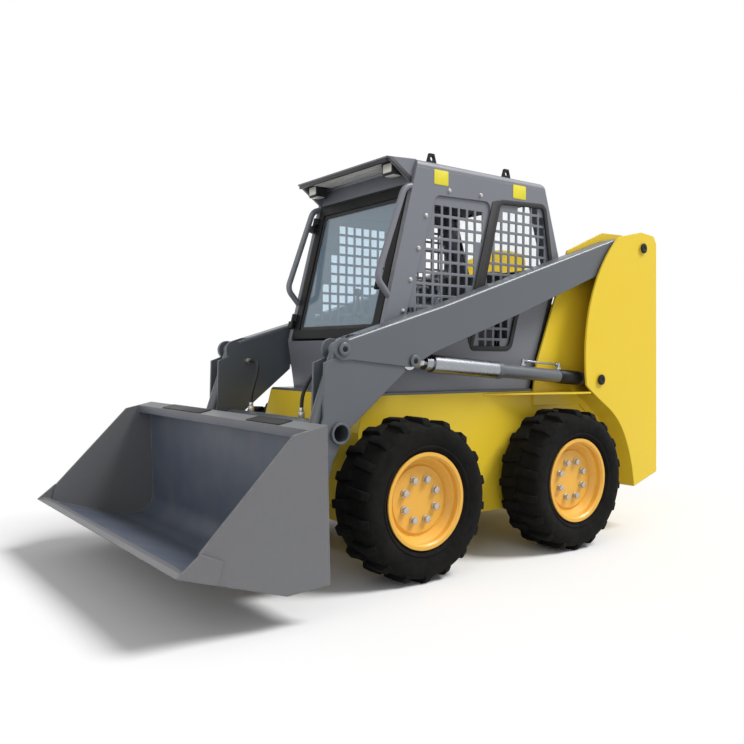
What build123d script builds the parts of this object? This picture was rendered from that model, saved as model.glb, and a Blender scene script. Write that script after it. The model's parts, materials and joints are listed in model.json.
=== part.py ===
import math
import os

from build123d import *

os.makedirs("parts", exist_ok=True)

# Layout in mm: +X forward, +Y left, +Z up, origin on the ground under the middle
REAR_AXLE_X = -700
WHEELBASE = 1060
TYRE_GAP = 31
TYRE_RADIUS = 375
TYRE_WIDTH = 264
PLATE = 12
PIN_GAP = 0.3
SIDE_GAP = 5

# Wheels
RIM_RADIUS = 222
RIM_SEAT_RADIUS = 205
RIM_WIDTH = 230
RIM_WALL = 9
DISC_INSET = 57
DISC_WALL = 14
DISC_RADIUS = 162
DISC_GROOVE = 8
NUT_COUNT = 8
NUT_CIRCLE = 98
NUT_RADIUS = 14
NUT_HEIGHT = 20
HUB_RADIUS = 74
HUB_LENGTH = 92
SPINDLE_RADIUS = 40
HOUSING_RADIUS = 62
HOUSING_FLANGE = 98
TREAD_FLATS = 36
TREAD_DEPTH = 26
SHOULDER = 20
SIDEWALL_IN = 14
BAR_WIDTH = 38
BAR_OVERLAP = 14
BAR_LEAN = 0.12

# Tub
TUB_HALF = 450
TUB_BELLY_Z = 213
TUB_TOP_Z = 842
TUB_REAR = 880
TUB_FRONT = 187
TUB_RAMP = 180
TUB_RAMP_RISE = 127
TUB_NOSE = 45
TUB_NOSE_DROP = 172

# Towers, arms and their cylinders share one band beside the tub
CYLINDER_GAP = 2
ARM_IN_GAP = 8
ARM_OUT_GAP = 10
ARM_KNEE_PLATE = 8
ARM_HUB_RADIUS = 80
ARM_ROUND = 16
NOSE_RADIUS = 50
CROSS_TUBE_RADIUS = 49
CROSS_TUBE_BORE = 38
CROSS_TUBE_STICK_OUT = 14
ARM_PIN_RADIUS = 25
LIFT_PIN_RADIUS = 20
TILT_PIN_RADIUS = 20
HINGE_PIN_RADIUS = 22
HINGE_BOSS_RADIUS = 50
PIN_STUB = 10

# Pins, measured forward from the rear axle and up from the ground
ARM_PIN = (-729, 1681)
LIFT_BASE = (-342, 903)
LIFT_ANGLE = 4.38256
LIFT_HEAD = 105.98
HINGE = (WHEELBASE + 570, 227)
TILT_LEVER = 185
TILT_LEVER_ANGLE = 88
TILT_ANGLE = 108.73342
TILT_HEAD = 93.31
CROSS_TUBE = (WHEELBASE + 372, 689)

# Hydraulic cylinders
LIFT_BARREL_RADIUS = 36
LIFT_BORE_RADIUS = 27
LIFT_ROD_RADIUS = 20
LIFT_BARREL_LENGTH = 1255
LIFT_SLEEVE = 770
LIFT_ROD_LENGTH = 1085
LIFT_TUBE_STEP = 8
LIFT_GLAND_STEP = 2
LIFT_COLLAR_STEP = 9
LIFT_COLLAR = 34
LIFT_EYE_RADIUS = 42
LIFT_EYE_WIDTH = 44
TILT_BARREL_RADIUS = 30
TILT_BORE_RADIUS = 23
TILT_ROD_RADIUS = 16
TILT_BARREL_LENGTH = 590
TILT_ROD_LENGTH = 470
TILT_EYE_RADIUS = 34
TILT_EYE_WIDTH = 36
GLAND = 45
CAP = 30

# Bucket and coupler
BUCKET_HALF = 914.5
BUCKET_SHEET = 10
BUCKET_SIDE = 12
BUCKET_ROUND = 100
CUTTER_PLATE = 10
EDGE_PLATE = 16
FLANGE_DEPTH = 77
FLANGE_HEIGHT = 40
COUPLER_OVERHANG = 55
COUPLER_PLATE = 12
COUPLER_LOW_Z = 190
COUPLER_TOP_Z = 650
EAR_PLATE = 12
EAR_SPACE = 44

# Cab
CAB_INSET = 20
CAB_WALL = 30
FLOOR_PLATE = 12
ROOF_Z = 2005
ROOF_DEPTH = 40
ROOF_ROUND = 36
WINDOW_ROUND = 40
SCREEN_PLATE = 6
SCREEN_PITCH = 58
SCREEN_HOLE = 44
DOOR_GAP = 8
DOOR_DEPTH = 28
DOOR_FRAME = 50
GLASS = 8
HINGE_STAND_OFF = 14
DOOR_PIN_RADIUS = 8
KNUCKLE_RADIUS = 14
KNUCKLE_LENGTH = 40
VISOR_INSET = 21
VISOR_PLATE = 8
RAIL_RADIUS = 16
RAIL_BEND = 60
EYE_INSET = 48
EYE_PLATE = 14
EYE_BORE = 12

# Engine bay and rear
HOOD_PLATE = 10
REAR_DOOR_DEPTH = 25
REAR_DOOR_INSET = 26
REAR_PIN_INSET = 9
BEAM_LOW_Z = 300
BEAM_TOP_Z = 420
BEAM_DEPTH = 45
TIE_DOWN_Y = 250
TIE_DOWN_RADIUS = 20

# Sizes that follow from those above
AXLE_Z = TYRE_RADIUS
FRONT_AXLE_X = REAR_AXLE_X + WHEELBASE
WHEEL_Y = TUB_HALF + TYRE_GAP + TYRE_WIDTH / 2
ARM_SPACE = 2 * (LIFT_BARREL_RADIUS + CYLINDER_GAP)
ARM_CENTRE_Y = TUB_HALF + 2 * PLATE + ARM_IN_GAP + ARM_SPACE / 2
TOWER_WIDTH = 4 * PLATE + ARM_SPACE + ARM_KNEE_PLATE + ARM_IN_GAP + ARM_OUT_GAP
COUPLER_HALF = ARM_CENTRE_Y + COUPLER_OVERHANG
CAB_HALF = TUB_HALF - CAB_INSET
VISOR_HALF = CAB_HALF - VISOR_INSET
RAIL_Y = CAB_HALF - CAB_WALL / 2
REAR_DOOR_EDGE = TUB_HALF - REAR_DOOR_INSET
REAR_PIN_Y = TUB_HALF - REAR_PIN_INSET
ARM_INNER_Y = ARM_CENTRE_Y - ARM_SPACE / 2
ARM_OUTER_Y = ARM_CENTRE_Y + ARM_SPACE / 2
TOWER_OUT_Y = TUB_HALF + TOWER_WIDTH
TOWER_IN_Y = TUB_HALF + PLATE
CAB_IN = CAB_HALF - CAB_WALL
CAB_BASE_Z = TUB_TOP_Z + FLOOR_PLATE
CAB_TOP_Z = ROOF_Z - ROOF_DEPTH
DISC_Y = WHEEL_Y + RIM_WIDTH / 2 - DISC_INSET
TUB_REAR_X = REAR_AXLE_X - TUB_REAR
TUB_FRONT_X = FRONT_AXLE_X + TUB_FRONT


def reach(start, length, angle):
    """The point at a length and an angle above forward from another."""
    turn = math.radians(angle)
    return (start[0] + length * math.cos(turn), start[1] + length * math.sin(turn))


LIFT_EYE = reach(LIFT_BASE, LIFT_BARREL_LENGTH + LIFT_HEAD, LIFT_ANGLE)
TILT_EYE = reach(HINGE, TILT_LEVER, TILT_LEVER_ANGLE)
TILT_BASE = reach(TILT_EYE, TILT_BARREL_LENGTH + TILT_HEAD, TILT_ANGLE)


def by(pin, points):
    """Points measured from a pin, as points from the rear axle."""
    return [(pin[0] + x, pin[1] + z) for x, z in points]


def place(points):
    """Points measured from the rear axle, as X and Z of the model."""
    return [(REAR_AXLE_X + x, z) for x, z in points]


def slab(points, y_low, y_high):
    """A plate with this X-Z outline between two Y planes."""
    wire = Wire.make_polygon([(x, y_low, z) for x, z in points], close=True)
    return Solid.extrude(Face(wire), (0, y_high - y_low, 0))


def rounded(points, corners, radius, y_low, y_high):
    """A plate with this X-Z outline, rounded at some of its corners."""
    plate = slab(points, y_low, y_high)
    edges = []
    for edge in plate.edges().filter_by(Axis.Y):
        place_xz = (edge.center().X, edge.center().Z)
        if min(math.dist(place_xz, corner) for corner in corners) < PIN_GAP:
            edges.append(edge)
    return plate.fillet(radius, edges)


def bar(point, radius, y_low, y_high):
    """A round bar along Y through a point measured from the rear axle."""
    start = Plane(origin=(REAR_AXLE_X + point[0], y_low, point[1]), z_dir=(0, 1, 0))
    return Solid.make_cylinder(radius, y_high - y_low, start)


def run(start, end, radius, begin, stop, y):
    """A round bar on the line between two pins, from one distance along it to another."""
    length = math.dist(start, end)
    along = ((end[0] - start[0]) / length, 0, (end[1] - start[1]) / length)
    foot = (
        REAR_AXLE_X + start[0] + along[0] * begin,
        y,
        start[1] + along[2] * begin,
    )
    return Solid.make_cylinder(radius, stop - begin, Plane(origin=foot, z_dir=along))


def inset(points, walls):
    """The outline with each edge moved in by its wall. A negative wall leaves that side open."""
    count = len(points)
    turn = 0
    for i in range(count):
        a, b = points[i], points[(i + 1) % count]
        turn += a[0] * b[1] - b[0] * a[1]
    side = 1 if turn > 0 else -1
    edges = []
    for i in range(count):
        a, b = points[i], points[(i + 1) % count]
        length = math.dist(a, b)
        dx, dz = (b[0] - a[0]) / length, (b[1] - a[1]) / length
        edges.append((a[0] - side * dz * walls[i], a[1] + side * dx * walls[i], dx, dz))
    corners = []
    for i in range(count):
        x0, z0, dx0, dz0 = edges[i - 1]
        x1, z1, dx1, dz1 = edges[i]
        t = ((x1 - x0) * dz1 - (z1 - z0) * dx1) / (dx0 * dz1 - dz0 * dx1)
        corners.append((x0 + t * dx0, z0 + t * dz0))
    return corners


def inside(point, outline):
    """Whether a point lies in an outline."""
    hit = False
    for i in range(len(outline)):
        (x0, z0), (x1, z1) = outline[i - 1], outline[i]
        if (z0 > point[1]) != (z1 > point[1]):
            if point[0] < (x1 - x0) * (point[1] - z0) / (z1 - z0) + x0:
                hit = not hit
    return hit


# Chassis tub, open on top and at the rear
TUB_OUTLINE = [
    (TUB_REAR_X, TUB_BELLY_Z + TUB_RAMP_RISE),
    (TUB_REAR_X + TUB_RAMP, TUB_BELLY_Z),
    (TUB_FRONT_X - TUB_NOSE, TUB_BELLY_Z),
    (TUB_FRONT_X, TUB_BELLY_Z + 2 * TUB_NOSE),
    (TUB_FRONT_X, TUB_TOP_Z - TUB_NOSE_DROP),
    (TUB_FRONT_X - TUB_NOSE, TUB_TOP_Z),
    (TUB_REAR_X, TUB_TOP_Z),
]
with BuildPart() as chassis_tub:
    add(slab(TUB_OUTLINE, -TUB_HALF, TUB_HALF))
    TUB_ROOM = inset(TUB_OUTLINE, [PLATE, PLATE, PLATE, PLATE, PLATE, -PLATE, -PLATE])
    add(slab(TUB_ROOM, PLATE - TUB_HALF, TUB_HALF - PLATE), mode=Mode.SUBTRACT)
chassis_tub.part.label = "chassis_tub"
export_step(chassis_tub.part, "parts/chassis_tub.step")

# Towers: an outer plate, an inner plate, a rear wall and the lining of the wheel arch
TOWER_FRONT = place([(-500, 1728), (-409, 1631), (-265, 1376), (-212, 1088), (-224, 873)])
TOWER_ARCH = place([(-224, 873), (-334, 794), (-500, 677), (-607, 512), (-673, 263)])
TOWER_HEEL = (-900, 334)
TOWER_SHOULDER = (-868, 1719)
TOWER_BACK = place(
    [(-673, 263), TOWER_HEEL, TOWER_SHOULDER, (-840, 1763), (-713, 1775), (-500, 1728)]
)
TOWER_INNER = place(
    [
        (60, TUB_TOP_Z),
        (39, 990),
        (-125, 1390),
        (-215, 1640),
        (-530, 1770),
        (-713, 1775),
        (-840, 1763),
        TOWER_SHOULDER,
        TOWER_HEEL,
        (-690, 300),
        (-600, 560),
        (-330, 760),
        (60, 760),
    ]
)
ARCH_WALL = place(
    [
        (TOWER_SHOULDER[0] + PLATE - 20, 345),
        (-686, 263 + PLATE * 1.4),
        (-607 - PLATE, 512 + PLATE / 2),
        (-500 - PLATE * 0.75, 677 + PLATE * 0.8),
        (-334 - PLATE * 0.6, 794 + PLATE),
        (-300, 836),
        (-290, 780),
        (100, 780),
        (100, 1900),
        (TOWER_SHOULDER[0] + PLATE + 4, 1900),
        (TOWER_SHOULDER[0] + PLATE + 4, TOWER_SHOULDER[1]),
    ]
)


def tower():
    """The left tower, with its arm pin and its lift cylinder pin."""
    front = Edge.make_spline([Vector(x, TOWER_OUT_Y, z) for x, z in TOWER_FRONT])
    arch = Edge.make_spline([Vector(x, TOWER_OUT_Y, z) for x, z in TOWER_ARCH])
    back = Wire.make_polygon([(x, TOWER_OUT_Y, z) for x, z in TOWER_BACK], close=False)
    face = Face(Wire([front, arch] + list(back.edges())))
    box = Solid.extrude(face, (0, TUB_HALF - TOWER_OUT_Y, 0))
    box = box.cut(slab(ARCH_WALL, TOWER_IN_Y, TOWER_OUT_Y - PLATE))
    box = box.fuse(slab(TOWER_INNER, TUB_HALF, TOWER_IN_Y))
    box = box.fuse(bar(ARM_PIN, ARM_PIN_RADIUS, TUB_HALF, TOWER_OUT_Y + PIN_STUB))
    return box.fuse(bar(LIFT_BASE, LIFT_PIN_RADIUS, TUB_HALF, TOWER_OUT_Y + PIN_STUB))


with BuildPart() as tower_left:
    add(tower())
tower_left.part.label = "tower_left"
export_step(tower_left.part, "parts/tower_left.step")

with BuildPart() as tower_right:
    add(tower())
    mirror(about=Plane.XZ, mode=Mode.REPLACE)
tower_right.part.label = "tower_right"
export_step(tower_right.part, "parts/tower_right.step")

# Rear fenders: ledges beside the tub that run out to a point
FENDER_Z = TUB_TOP_Z - 7
FENDER_PLATE = 10
FENDER_TIP_X = REAR_AXLE_X + 440
FENDER_STEP_X = REAR_AXLE_X + 61
FENDER_REAR_X = REAR_AXLE_X - 262
FENDER_OUT_X = REAR_AXLE_X - 100
FENDER_PLAN = [
    (FENDER_TIP_X, TUB_HALF),
    (FENDER_STEP_X, TUB_HALF),
    (FENDER_STEP_X, TOWER_IN_Y),
    (FENDER_REAR_X, TOWER_IN_Y),
    (FENDER_REAR_X, TOWER_OUT_Y),
    (FENDER_OUT_X, TOWER_OUT_Y),
]
with BuildPart() as rear_fenders:
    with BuildSketch(Plane.XY.offset(FENDER_Z - FENDER_PLATE)):
        Polygon(*FENDER_PLAN, align=None)
    extrude(amount=FENDER_PLATE)
    mirror(about=Plane.XZ)
rear_fenders.part.label = "rear_fenders"
export_step(rear_fenders.part, "parts/rear_fenders.step")

# Axle housings on the tub, each with the spindle that carries a wheel
HOUSING_END_Y = DISC_Y - HUB_LENGTH - SIDE_GAP
with BuildPart() as axle_housings:
    for axle in (0, WHEELBASE):
        add(bar((axle, AXLE_Z), HOUSING_FLANGE, TUB_HALF, TUB_HALF + 1.5 * PLATE))
        add(bar((axle, AXLE_Z), HOUSING_RADIUS, TUB_HALF, HOUSING_END_Y))
        add(bar((axle, AXLE_Z), SPINDLE_RADIUS, TUB_HALF, DISC_Y - DISC_WALL - SIDE_GAP))
    mirror(about=Plane.XZ)
axle_housings.part.label = "axle_housings"
export_step(axle_housings.part, "parts/axle_housings.step")

# Wheels: a drop-centre rim with a dished disc
HALF_RIM = RIM_WIDTH / 2
DISC_FACE = HALF_RIM - DISC_INSET
DISC_BACK = DISC_FACE - DISC_WALL
RIM_IN_RADIUS = RIM_SEAT_RADIUS - RIM_WALL
RIM_SECTION = [
    (RIM_RADIUS, HALF_RIM),
    (RIM_RADIUS, HALF_RIM - RIM_WALL),
    (RIM_SEAT_RADIUS, HALF_RIM - RIM_WALL),
    (RIM_SEAT_RADIUS, RIM_WALL - HALF_RIM),
    (RIM_RADIUS, RIM_WALL - HALF_RIM),
    (RIM_RADIUS, -HALF_RIM),
    (RIM_IN_RADIUS, -HALF_RIM),
    (RIM_IN_RADIUS, DISC_BACK),
    (HUB_RADIUS, DISC_BACK),
    (HUB_RADIUS, DISC_FACE - HUB_LENGTH),
    (SPINDLE_RADIUS + PIN_GAP, DISC_FACE - HUB_LENGTH),
    (SPINDLE_RADIUS + PIN_GAP, DISC_BACK),
    (0, DISC_BACK),
    (0, DISC_FACE),
    (DISC_RADIUS - DISC_GROOVE, DISC_FACE),
    (DISC_RADIUS, DISC_FACE - DISC_GROOVE),
    (DISC_RADIUS + DISC_GROOVE, DISC_FACE - DISC_GROOVE),
    (RIM_IN_RADIUS - RIM_WALL, DISC_FACE + 2 * RIM_WALL),
    (RIM_IN_RADIUS, DISC_FACE + 2.5 * RIM_WALL),
    (RIM_IN_RADIUS, HALF_RIM - RIM_WALL),
    (RIM_SEAT_RADIUS, HALF_RIM),
]


def ring(section, axle_x, hand):
    """A section of radius and offset, turned round a wheel's axle on the left or right."""
    points = [(axle_x, hand * (WHEEL_Y + w), AXLE_Z + r) for r, w in section]
    face = Face(Wire.make_polygon(points, close=True))
    axle = Axis((axle_x, 0, AXLE_Z), (0, 1, 0))
    return Solid.revolve(face, 360, axle)


def nut(axle_x, hand, number):
    """One wheel nut on the disc."""
    turn = 2 * math.pi * (number + 0.5) / NUT_COUNT
    x = axle_x + NUT_CIRCLE * math.cos(turn)
    z = AXLE_Z + NUT_CIRCLE * math.sin(turn)
    start = Plane(origin=(x, hand * DISC_Y, z), z_dir=(0, hand, 0))
    return Solid.make_cylinder(NUT_RADIUS, NUT_HEIGHT, start)


# Tyres: rings of flats from bead to bead, with a bar of tread on every flat
HALF_TYRE = TYRE_WIDTH / 2
BEAD = HALF_RIM - RIM_WALL
TREAD_BASE = TYRE_RADIUS - TREAD_DEPTH
TREAD_EDGE = HALF_TYRE - SHOULDER
SIDEWALL_Z = (RIM_RADIUS + TYRE_RADIUS) / 2
CARCASS = [
    (BEAD, RIM_SEAT_RADIUS),
    (BEAD, RIM_RADIUS + SIDEWALL_IN),
    (HALF_TYRE, SIDEWALL_Z),
    (TREAD_EDGE, TREAD_BASE),
]
SIDEWALL_FALL = SHOULDER / (TREAD_BASE - SIDEWALL_Z)
BAR_FOOT = TREAD_BASE - SIDEWALL_IN
BAR_SECTION = [
    (-BAR_OVERLAP, BAR_FOOT),
    (SIDEWALL_IN / 2 - BAR_OVERLAP, TYRE_RADIUS),
    (TREAD_EDGE - SIDEWALL_FALL * TREAD_DEPTH, TYRE_RADIUS),
    (TREAD_EDGE + SIDEWALL_FALL * SIDEWALL_IN, BAR_FOOT),
]


def ring_corner(hand, across, flat, number):
    """A corner of the ring whose flats lie at a radius, at an offset from the tyre's middle."""
    corner = flat / math.cos(math.pi / TREAD_FLATS)
    turn = 2 * math.pi * (number - 0.5) / TREAD_FLATS
    return (corner * math.sin(turn), hand * (WHEEL_Y + across), AXLE_Z - corner * math.cos(turn))


def tread_bar(hand, number):
    """One bar on a flat: even flats reach the outer shoulder, odd flats the inner one."""
    side = hand if number % 2 else -hand
    points = []
    for across, radius in BAR_SECTION:
        shift = BAR_LEAN * (across - HALF_TYRE / 2)
        points.append((shift - BAR_WIDTH / 2, side * across, radius))
    bar_face = Face(Wire.make_polygon(points, close=True))
    block = Solid.extrude(bar_face, (BAR_WIDTH, 0, 0))
    turn = 2 * math.pi * number / TREAD_FLATS
    flat = Plane(
        origin=(0, hand * WHEEL_Y, AXLE_Z),
        x_dir=(math.cos(turn), 0, math.sin(turn)),
        z_dir=(math.sin(turn), 0, -math.cos(turn)),
    )
    return block.moved(flat.location)


def tyre_body(hand):
    """A tyre under the middle of the machine, to be moved along to its axle."""
    section = CARCASS + [(-across, flat) for across, flat in CARCASS[::-1]]
    flats = []
    for a, b in zip(section, section[1:] + section[:1]):
        for number in range(TREAD_FLATS):
            edge_a = [ring_corner(hand, *a, number), ring_corner(hand, *a, number + 1)]
            edge_b = [ring_corner(hand, *b, number + 1), ring_corner(hand, *b, number)]
            flats.append(Face(Wire.make_polygon(edge_a + edge_b, close=True)))
    body = Solid(Shell(flats))
    return body.fuse(*[tread_bar(hand, number) for number in range(TREAD_FLATS)])


for hand_name, hand in (("left", 1), ("right", -1)):
    tread = tyre_body(hand)
    for axle_name, axle_x in (("front", FRONT_AXLE_X), ("rear", REAR_AXLE_X)):
        with BuildPart() as rim:
            add(ring(RIM_SECTION, axle_x, hand))
            for number in range(NUT_COUNT):
                add(nut(axle_x, hand, number))
        rim.part.label = f"rim_{axle_name}_{hand_name}"
        export_step(rim.part, f"parts/rim_{axle_name}_{hand_name}.step")

        with BuildPart() as tyre:
            add(tread.moved(Location((axle_x, 0, 0))))
        tyre.part.label = f"tyre_{axle_name}_{hand_name}"
        export_step(tyre.part, f"parts/tyre_{axle_name}_{hand_name}.step")

# Loader arms: a beam of two plates, open at the nose, and a leg of two plates
KNEE_TOP, KNEE_REAR, KNEE_LOW = by(LIFT_EYE, [(-188, 272), (-126, 43), (16, -28)])
NOSE_TOP, NOSE_BROW, NOSE_CHIN, NOSE_LOW = by(TILT_BASE, [(-90, 69), (-17, 47), (8, -48), (-36, -46)])
BEAM_HEEL = (-480, 1715)
BEAM_TOP = [(-704, 1757), BEAM_HEEL, KNEE_TOP, NOSE_TOP, NOSE_BROW]
BEAM_OUTLINE = place(
    BEAM_TOP
    + [TILT_BASE, NOSE_CHIN, NOSE_LOW, KNEE_LOW, KNEE_REAR]
    + [(288, 1260), (-341, 1498), (-754, 1604)]
)
ROOM_START = LIFT_EYE[0] - 275
BEAM_FALL = (BEAM_HEEL[1] - KNEE_TOP[1]) / (KNEE_TOP[0] - BEAM_HEEL[0])
ROOM_TOP = KNEE_TOP[1] + BEAM_FALL * (KNEE_TOP[0] - ROOM_START) - PLATE
ROOM_LOW = LIFT_EYE[1] - 107
BEAM_ROOM = place(
    [(ROOM_START, ROOM_LOW), (ROOM_START, ROOM_TOP)]
    + by(KNEE_TOP, [(0, -PLATE)])
    + by(NOSE_TOP, [(0, -PLATE), (23, 122), (273, 122)])
    + [(NOSE_TOP[0] + 273, ROOM_LOW)]
)
LEG_REAR = by(CROSS_TUBE, [(-32, 1), (38, -129)])
LEG_FRONT = by(CROSS_TUBE, [(148, -129), (86, 71)])
LEG_OUTLINE = place(
    by(LIFT_EYE, [(52, -7), (52, -51)])
    + LEG_REAR
    + by(HINGE, [(-130, 213), (-47.5, 15), (45, 20), (-10, 173)])
    + LEG_FRONT
    + by(TILT_BASE, [(95, -59), (-17, -19)])
)
LEG_WEB = place(
    by(LIFT_EYE, [(85, -42)])
    + by(CROSS_TUBE, [(-32, 23), (48, -124)])
    + LEG_REAR[::-1]
    + by(LIFT_EYE, [(75, -67)])
)


def beam(y_low, y_high):
    """The beam of an arm, with its long upper edges rounded."""
    body = slab(BEAM_OUTLINE, y_low, y_high)
    chain = place(BEAM_TOP)
    edges = []
    for edge in body.edges():
        ends = [(vertex.X, vertex.Z) for vertex in edge.vertices()]
        on_top = [min(math.dist(end, corner) for corner in chain) < PIN_GAP for end in ends]
        if all(on_top) and math.dist(*ends) > ARM_ROUND:
            edges.append(edge)
    return body.fillet(ARM_ROUND, edges)


def arm():
    """The left arm, with the pins that it carries."""
    inner_face = ARM_INNER_Y - PLATE
    outer_face = ARM_OUTER_Y + PLATE
    knee_face = outer_face + ARM_KNEE_PLATE
    body = beam(inner_face, knee_face)
    body = body.fuse(bar(ARM_PIN, ARM_HUB_RADIUS, inner_face, knee_face))
    body = body.fuse(bar(TILT_BASE, NOSE_RADIUS, inner_face, knee_face))
    body = body.cut(slab(BEAM_ROOM, ARM_INNER_Y, ARM_OUTER_Y))
    for low, high in ((inner_face, ARM_INNER_Y), (ARM_OUTER_Y, outer_face)):
        body = body.fuse(slab(LEG_OUTLINE, low, high))
        body = body.fuse(bar(HINGE, HINGE_BOSS_RADIUS, low, high))
    body = body.fuse(slab(LEG_WEB, ARM_INNER_Y, ARM_OUTER_Y))
    body = body.fuse(bar(TILT_BASE, TILT_PIN_RADIUS, inner_face, knee_face + PIN_STUB))
    body = body.fuse(bar(HINGE, HINGE_PIN_RADIUS, inner_face, outer_face + PIN_STUB))
    body = body.fuse(bar(LIFT_EYE, LIFT_PIN_RADIUS, ARM_INNER_Y - PLATE, ARM_INNER_Y + PIN_STUB))
    body = body.fuse(bar(LIFT_EYE, LIFT_PIN_RADIUS, ARM_OUTER_Y - PIN_STUB, knee_face + PIN_STUB))
    body = body.cut(bar(CROSS_TUBE, CROSS_TUBE_RADIUS, inner_face - 1, knee_face + 1))
    return body.cut(bar(ARM_PIN, ARM_PIN_RADIUS + PIN_GAP, inner_face - 1, knee_face + 1))


with BuildPart() as arm_left:
    add(arm())
arm_left.part.label = "arm_left"
export_step(arm_left.part, "parts/arm_left.step")

with BuildPart() as arm_right:
    add(arm())
    mirror(about=Plane.XZ, mode=Mode.REPLACE)
arm_right.part.label = "arm_right"
export_step(arm_right.part, "parts/arm_right.step")

# Cross tube through both legs, with open ends
TUBE_END_Y = ARM_OUTER_Y + PLATE + CROSS_TUBE_STICK_OUT
with BuildPart() as arm_cross_tube:
    add(bar(CROSS_TUBE, CROSS_TUBE_RADIUS, -TUBE_END_Y, TUBE_END_Y))
    add(bar(CROSS_TUBE, CROSS_TUBE_BORE, -TUBE_END_Y, TUBE_END_Y), mode=Mode.SUBTRACT)
arm_cross_tube.part.label = "arm_cross_tube"
export_step(arm_cross_tube.part, "parts/arm_cross_tube.step")

# Lift cylinders: base and sleeve toward the tower, bright tube and rod toward the arm
LIFT_LOW_Y = ARM_CENTRE_Y - LIFT_EYE_WIDTH / 2
LIFT_HIGH_Y = ARM_CENTRE_Y + LIFT_EYE_WIDTH / 2
LIFT_BORE_START = LIFT_EYE_RADIUS + CAP
LIFT_COLLAR_RADIUS = LIFT_BARREL_RADIUS + LIFT_COLLAR_STEP
with BuildPart() as lift_barrels:
    add(run(LIFT_BASE, LIFT_EYE, LIFT_BARREL_RADIUS, 0, LIFT_SLEEVE, ARM_CENTRE_Y))
    add(run(LIFT_BASE, LIFT_EYE, LIFT_COLLAR_RADIUS, LIFT_SLEEVE - LIFT_COLLAR, LIFT_SLEEVE, ARM_CENTRE_Y))
    add(bar(LIFT_BASE, LIFT_EYE_RADIUS, LIFT_LOW_Y, LIFT_HIGH_Y))
    add(
        run(LIFT_BASE, LIFT_EYE, LIFT_BORE_RADIUS, LIFT_BORE_START, LIFT_SLEEVE, ARM_CENTRE_Y),
        mode=Mode.SUBTRACT,
    )
    add(bar(LIFT_BASE, LIFT_PIN_RADIUS + PIN_GAP, ARM_INNER_Y, ARM_OUTER_Y), mode=Mode.SUBTRACT)
    mirror(about=Plane.XZ)
lift_barrels.part.label = "lift_barrels"
export_step(lift_barrels.part, "parts/lift_barrels.step")

LIFT_TUBE_RADIUS = LIFT_BARREL_RADIUS + LIFT_TUBE_STEP
LIFT_GLAND_RADIUS = LIFT_BARREL_RADIUS - LIFT_GLAND_STEP
LIFT_GLAND_START = LIFT_BARREL_LENGTH - GLAND
with BuildPart() as lift_tubes:
    add(run(LIFT_BASE, LIFT_EYE, LIFT_TUBE_RADIUS, LIFT_SLEEVE, LIFT_GLAND_START, ARM_CENTRE_Y))
    add(run(LIFT_BASE, LIFT_EYE, LIFT_GLAND_RADIUS, LIFT_GLAND_START, LIFT_BARREL_LENGTH, ARM_CENTRE_Y))
    add(
        run(LIFT_BASE, LIFT_EYE, LIFT_BORE_RADIUS, LIFT_SLEEVE, LIFT_GLAND_START, ARM_CENTRE_Y),
        mode=Mode.SUBTRACT,
    )
    add(
        run(
            LIFT_BASE,
            LIFT_EYE,
            LIFT_ROD_RADIUS + PIN_GAP,
            LIFT_GLAND_START,
            LIFT_BARREL_LENGTH,
            ARM_CENTRE_Y,
        ),
        mode=Mode.SUBTRACT,
    )
    mirror(about=Plane.XZ)
lift_tubes.part.label = "lift_tubes"
export_step(lift_tubes.part, "parts/lift_tubes.step")

LIFT_LENGTH = math.dist(LIFT_BASE, LIFT_EYE)
with BuildPart() as lift_rods:
    add(run(LIFT_EYE, LIFT_BASE, LIFT_ROD_RADIUS, 0, LIFT_ROD_LENGTH, ARM_CENTRE_Y))
    add(bar(LIFT_EYE, LIFT_EYE_RADIUS, LIFT_LOW_Y, LIFT_HIGH_Y))
    add(bar(LIFT_EYE, LIFT_PIN_RADIUS, LIFT_LOW_Y, LIFT_HIGH_Y), mode=Mode.SUBTRACT)
    mirror(about=Plane.XZ)
lift_rods.part.label = "lift_rods"
export_step(lift_rods.part, "parts/lift_rods.step")

# Tilt cylinders between the plates of each leg
TILT_LOW_Y = ARM_CENTRE_Y - TILT_EYE_WIDTH / 2
TILT_HIGH_Y = ARM_CENTRE_Y + TILT_EYE_WIDTH / 2
TILT_GLAND_START = TILT_BARREL_LENGTH - GLAND
with BuildPart() as tilt_barrels:
    add(run(TILT_BASE, TILT_EYE, TILT_BARREL_RADIUS, 0, TILT_BARREL_LENGTH, ARM_CENTRE_Y))
    add(bar(TILT_BASE, TILT_EYE_RADIUS, TILT_LOW_Y, TILT_HIGH_Y))
    add(
        run(
            TILT_BASE,
            TILT_EYE,
            TILT_BORE_RADIUS,
            TILT_EYE_RADIUS + CAP,
            TILT_GLAND_START,
            ARM_CENTRE_Y,
        ),
        mode=Mode.SUBTRACT,
    )
    add(
        run(
            TILT_BASE,
            TILT_EYE,
            TILT_ROD_RADIUS + PIN_GAP,
            TILT_GLAND_START,
            TILT_BARREL_LENGTH,
            ARM_CENTRE_Y,
        ),
        mode=Mode.SUBTRACT,
    )
    add(
        bar(TILT_BASE, TILT_PIN_RADIUS + PIN_GAP, ARM_INNER_Y, ARM_OUTER_Y),
        mode=Mode.SUBTRACT,
    )
    mirror(about=Plane.XZ)
tilt_barrels.part.label = "tilt_barrels"
export_step(tilt_barrels.part, "parts/tilt_barrels.step")

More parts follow.
